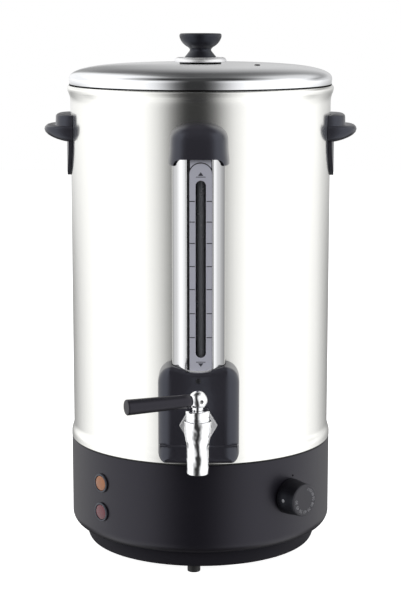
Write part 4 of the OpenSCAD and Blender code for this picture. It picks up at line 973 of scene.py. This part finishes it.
def build_housing():
    """The tap's cover, with two peaks and a notch above and a step across its foot."""
    half, corner, peak_x = 40.0, 8, 25.5
    corner_z = HOUSING_LOW + corner
    slope_x, slope_z = half - peak_x, HOUSING_TOP - 18
    outline = (arc(half - corner, corner_z, corner, 270, 360, 8)
               + oval(peak_x, slope_z, slope_x, 18, 0, 90, 12)
               + oval(0, HOUSING_TOP - 3.1, 12, -3, 0, 180, 12)
               + oval(-peak_x, slope_z, -slope_x, 18, 90, 0, 12)
               + arc(corner - half, corner_z, corner, 180, 270, 8))
    made = as_object("tap_housing_cover", swelled(outline, IN_TANK_Y, HOUSING_FRONT, 15, 4, 2.5))
    step = (arc(32, corner_z, corner, 270, 360, 8) + arc(37.8, 146.0, 2.2, 0, 90, 4)
            + arc(-37.8, 146.0, 2.2, 90, 180, 4) + arc(-32, corner_z, corner, 180, 270, 8))
    combine(made, swelled(step, IN_TANK_Y, HOUSING_FRONT - 1.3, 15.5, 1.5, 3), "UNION")
    cut(made, tank_plug(SKIN_R, 100, 300), tank_plug(136.6, 100, 136),
        prism(channel_plan(0.5), 205, 260))
    finish(made, "urn", ("tap_housing",), "black_plastic")
    lip = oval(0, 223.6, 13.2, -3.2, 0, 180, 12) + oval(0, 223.9, -12.4, -1.9, 0, 180, 12)
    piece("notch_trim", prism(lip, PANEL_FRONT - 1.2, PANEL_FRONT + 0.4, True), "urn", (),
          "bright_chrome", "satin_trim")


# ---------- Tap ----------

def build_tap():
    at_tap = shift(0, TAP_Y, 0)
    outer = curve_through([(10.6, 140.0), (10.6, 150.0), (10.6, 156.5), (10.9, 161.0),
                           (11.8, 166.0), (12.6, 170.5), (12.9, 175.0), (13.0, 179.0),
                           (13.0, 183.0)], 4)
    profile = ([(7.5, 133.4), (8.0, 133.0), (9.6, 133.0)] + arc(9.6, 134.0, 1.0, -90, 0, 4)
               + outer + arc(12.2, 184.0, 0.8, 0, 90, 4)
               + [(8.5, 184.8), (8.5, 158.0), (6.0, 158.0), (6.0, 155.0), (7.5, 155.0)])
    made = as_object("tap_casting", lathe(profile, 96, at_tap))
    shank_place = shift(0, TAP_Y, INLET_AXIS) @ spin(-90, "X")
    shank = [(0, 4.0), (10.0, 4.0), (10.4, 4.6), (10.4, 46.0)]
    shank += [(10.4 if i % 2 == 0 else 9.7, 46.0 + 0.9 * (i + 1)) for i in range(50)]
    shank += [(9.7, 94.6), (9.2, 95.0), (0, 95.0)]
    combine(made, lathe(shank, 96, shank_place), "UNION")
    cut(made, lathe(rectangle(0, 0, 7, 99), 64, shank_place))
    finish(made, "urn", ("tap_body",), "bright_chrome", "cast_chrome")
    bonnet = ([(3.05, 178.0), (8.35, 178.0), (8.35, 184.9), (11.2, 185.0)]
              + arc(11.0, 185.5, 0.5, -60, 0, 3)
              + [(11.5, 188.4), (11.1, 188.7), (11.1, 189.3), (11.5, 189.6)]
              + arc(9.7, 193.2, 1.8, 0, 90, 8) + [(3.6, 195.0), (3.05, 194.5)])
    piece("tap_bonnet_ring", lathe(bonnet, 96, at_tap), "urn", ("tap_bonnet",), "bright_chrome",
          "cast_chrome")
    refined("tap_flange_nut", "flange_nut", 0.7, "bright_chrome", coat="nut_faces")
    lever = shift(0, TAP_Y, BALL_Z) @ spin(LEVER_TURN, "Z")
    cross = lever @ spin(90, "X")
    ball_r, flat_z = 9.2, -6.0
    flat_start = math.degrees(math.asin(flat_z / ball_r))
    profile = [(0, flat_z)] + arc(0, 0, ball_r, flat_start, 90, 40)[:-1] + [(0, ball_r)]
    ball = as_object("lever_ball", lathe(profile, 96, lever))
    cut(ball, lathe(rectangle(0, -12, 2.05, 12), 40, cross))
    half, reach, open_a = 3.6, 16.8, math.radians(48)
    edge = (-half * math.cos(open_a), half * math.sin(open_a))
    wedge = [(half, 0), (half, -reach), (-reach, -reach),
             (edge[0] - reach * math.sin(open_a), edge[1] - reach * math.cos(open_a)), edge]
    cut(ball, lathe(rectangle(0, -2.3, 4.7, 2.3), 64, cross),
        moved(prism(wedge, -2.3, 2.3, True), lever))
    finish(ball, "lever", ("tap_lever_hub",), "bright_chrome", "cast_chrome")
    rod = ([(0, 8.0), (4.6, 8.0), (5.9, 8.2), (6.4, 8.8)]
           + [(6.4 + 1.1 * i / 10, 8.8 + 62.4 * i / 10) for i in range(1, 11)]
           + arc(6.3, 71.8, 1.2, 0, 90, 6) + [(3.0, 72.85), (0, 72.8)])
    piece("lever_grip", lathe(rod, 96, lever @ spin(90, "Y")), "lever", ("tap_lever_rod",),
          "black_plastic", "base_black")


# ---------- Handles ----------

def handle_block():
    """Rounded sections from the grip shelf's underside up to the block's top, each with its
    height, its reach past the tank's radius and half its width."""
    levels = [(433.8, 4.0, 29.9), (434.0, 7.0, 31.6), (434.8, 10.5, 33.4), (436.2, 15.0, 35.0),
              (438.0, 19.4, 35.8), (440.3, 23.2, 36.4), (443.0, 25.9, 36.5), (446.0, 27.0, 36.5),
              (448.2, 26.4, 36.4), (449.4, 25.2, 36.1), (450.0, 23.2, 35.6), (450.2, 21.0, 35.3),
              (450.3, 16.4, 35.1), (450.8, 15.5, 35.0), (452.0, 15.2, 34.8), (459.4, 14.9, 34.5),
              (460.5, 14.3, 34.1), (461.0, 13.0, 33.2)]
    root, squareness = 124.0, 0.62
    turns = [math.pi * (k / 56 - 0.5) for k in range(57)]
    return skinned([[(root + (TANK_R + reach - root) * squared_off(math.cos(t), squareness),
                      half * squared_off(math.sin(t), squareness), z) for t in turns]
                    for z, reach, half in levels])


def build_handles():
    for name, node, side in (("left_handle_moulding", "handle_left", 180),
                             ("right_handle_moulding", "handle_right", 0)):
        made = as_object(name, handle_block())
        cut(made, tank_plug(SKIN_R, 380, 480), prism(rectangle(141, -22, 154, 22), 430, 445))
        outline = [(-32, 436), (32, 436)] + oval(0, 434, 32, -37, 0, 180, 24)
        tongue = as_object("tongue", moved(prism(outline, -150, -120, True), spin(90, "Z")))
        combine(tongue, lathe(rectangle(SKIN_R, 390, 138.8, 437)), "INTERSECT")
        bm = copied(tongue.data)
        bpy.data.objects.remove(tongue)
        combine(made, bm, "UNION")
        made.data.transform(spin(side, "Z"))
        finish(made, "urn", (node,), "black_plastic")


# ---------- Controls ----------

def build_dial():
    place = facing(DIAL_AZ, BASE_R + 0.8, DIAL_Z)
    back_z, face_z = 20.6, 22.0
    side = curve_through([(18.1, 0.0), (18.25, 0.8), (18.1, 5.0), (17.6, 8.5), (17.1, 12.5),
                          (16.7, 19.9)], 5)
    profile = [(3.05, 0)] + side + [(16.6, back_z), (0, back_z), (0, 14.1), (3.05, 14.1)]
    piece("dial_grip", lathe(profile, 144, place, closed=False), "dial", ("dial_knob",),
          "black_plastic", "dial_black")
    disc = [(0, back_z), (16.4, back_z), (16.3, 21.1), (15.9, 21.55), (15.2, 21.9),
            (14.4, face_z), (0, face_z)]
    piece("dial_face", lathe(disc, 144, place), "dial", coat="knob_face")
    numbers = []
    for i in range(9):
        text = bpy.data.curves.new("number", "FONT")
        text.body = str(30 + 10 * i)
        text.size = 4.4
        text.align_x, text.align_y = "CENTER", "CENTER"
        text.extrude = 0.1
        holder = put("number", text)
        mesh = shaped_mesh(holder)
        bm = bmesh.new()
        bm.from_mesh(mesh)
        numbers.append(moved(bm, place @ shift(*around(11.7, 180 + 30 * i), face_z)
                             @ spin(90 + 30 * i, "Z")))
        bpy.data.meshes.remove(mesh)
        bpy.data.objects.remove(holder)
    piece("dial_numbers", joined(numbers), "dial", coat="pale_ink")
    spot = lathe([(0, -0.6), (1.8, -0.6), (1.8, 0.1), (1.5, 0.3), (0, 0.3)], 32,
                 place @ shift(-17.6, 0, 8.3) @ spin(-90, "Y"))
    piece("pointer_dot", spot, "dial", coat="white_ink")
    dot = lathe([(0, -0.4), (1.0, -0.4), (1.0, 0.1), (0, 0.15)], 24, facing(44, BASE_R, 99.6))
    piece("index_dot", dot, "urn", coat="dot_ink")


def build_lamps():
    ring = ([(8.4, -9), (8.4, 0), (9.2, 0.05)] + arc(9.3, 0.75, 0.7, -90, 0, 4)
            + arc(8.9, 0.95, 1.1, 10, 110, 6) + [(8.0, 1.85), (7.8, 1.5), (7.8, -9)])
    bezels = [lathe(ring, 96, facing(LAMP_AZ, BASE_R, z)) for z in LAMP_Z]
    piece("lamp_rings", joined(bezels), "urn", ("lamp_bezels",), "black_plastic")
    lens = [(0, -5), (7.7, -5), (7.7, 1.0)] + oval(0, 1.2, 7.6, 1.3, 0, 84, 14) + [(0, 2.5)]
    for z, name, slot, node in ((LAMP_Z[0], "upper_lens", "amber_lens", "keep_warm_lens"),
                                (LAMP_Z[1], "lower_lens", "red_lens", "heat_lens")):
        piece(name, lathe(lens, 96, facing(LAMP_AZ, BASE_R, z)), "urn", (node,), slot)


# ---------- Screws and small parts ----------

def screw_mesh(shank_r, length, head_r, head_h):
    """A pan-head screw with a cross recess: head below zero, shank above."""
    profile = ([(0, length), (shank_r - 0.3, length), (shank_r, length - 0.5), (shank_r, 0),
                (head_r, 0)]
               + oval(0, -0.35 * head_h, head_r, -0.65 * head_h, 0, 81, 9) + [(0, -head_h)])
    made = as_object("screw", lathe(profile, 32))
    w, reach, deep = head_r * 0.16, head_r * 0.62, head_h * 0.55
    for a, b in ((w, reach), (reach, w)):
        cut(made, prism(rectangle(-a, -b, a, b), -head_h - 1, -head_h + deep))
    mesh = made.data
    bpy.data.objects.remove(made)
    return mesh


def build_screws():
    sets = (
        ("base_screw_set", "base_screws", (1.95, 12, 3.8, 2.4),
         [shift(*around(PAN_SCREW_RING, 45 + 90 * i), PAN_Z) for i in range(4)]),
        ("inlet_screw_set", "inlet_screws", (1.5, 8, 2.8, 1.8),
         [shift(x, 142, MAINS_Z) @ spin(90, "X") for x in (-20, 20)]),
        ("housing_front_screw", "housing_screw", (1.5, 6, 2.6, 1.4),
         [shift(0, HOUSING_FRONT, 212.5) @ spin(-90, "X")]),
        ("handle_screw_set", "handle_screws", (2.5, 11, 4.5, 2.8),
         [facing(side + turn, 133.85, WALL_SCREW_Z) for side in (-90, 90)
          for turn in (-9.3, 9.3)]),
        ("cap_fixing", "cap_screw", (2.0, 9, 3.6, 2.4), [facing(0, 133.85, WALL_SCREW_Z)]),
        ("knob_fixing", "knob_screw", (2.5, 18.6, 5.0, 3.0), [shift(0, 0, CROWN_Z - 0.8)]),
    )
    for name, node, size, places in sets:
        template = screw_mesh(*size)
        parts = [moved(copied(template), place) for place in places]
        bpy.data.meshes.remove(template)
        made = piece(name, joined(parts), "lid" if node == "knob_screw" else "urn", (node,),
                     "plain_steel", "blackened_steel" if node == "housing_screw" else None)
        made.visible_glossy = node != "knob_screw"


def build_inlet():
    refined("mains_inlet", "inlet_moulding", 0.5, "dark_plastic", 2, 40)
    refined("inlet_pins", "inlet_blades", 0.4, "plain_steel", 3, 40)


make_camera()
make_world()
make_stage()
area_lamp("key_lamp", (-1.5, -1.7, 1.5), 1.6, 15.0)
area_lamp("fill_lamp", (1.8, -1.2, 1.0), 1.6, 8.0)
area_lamp("top_lamp", (0.1, 0.3, 2.3), 1.8, 10.0)
build_tank()
build_lid()
build_base()
build_channel()
build_panel()
build_cap()
build_housing()
build_tap()
build_handles()
build_dial()
build_lamps()
build_screws()
build_inlet()

bpy.context.scene.view_settings.view_transform = "Standard"
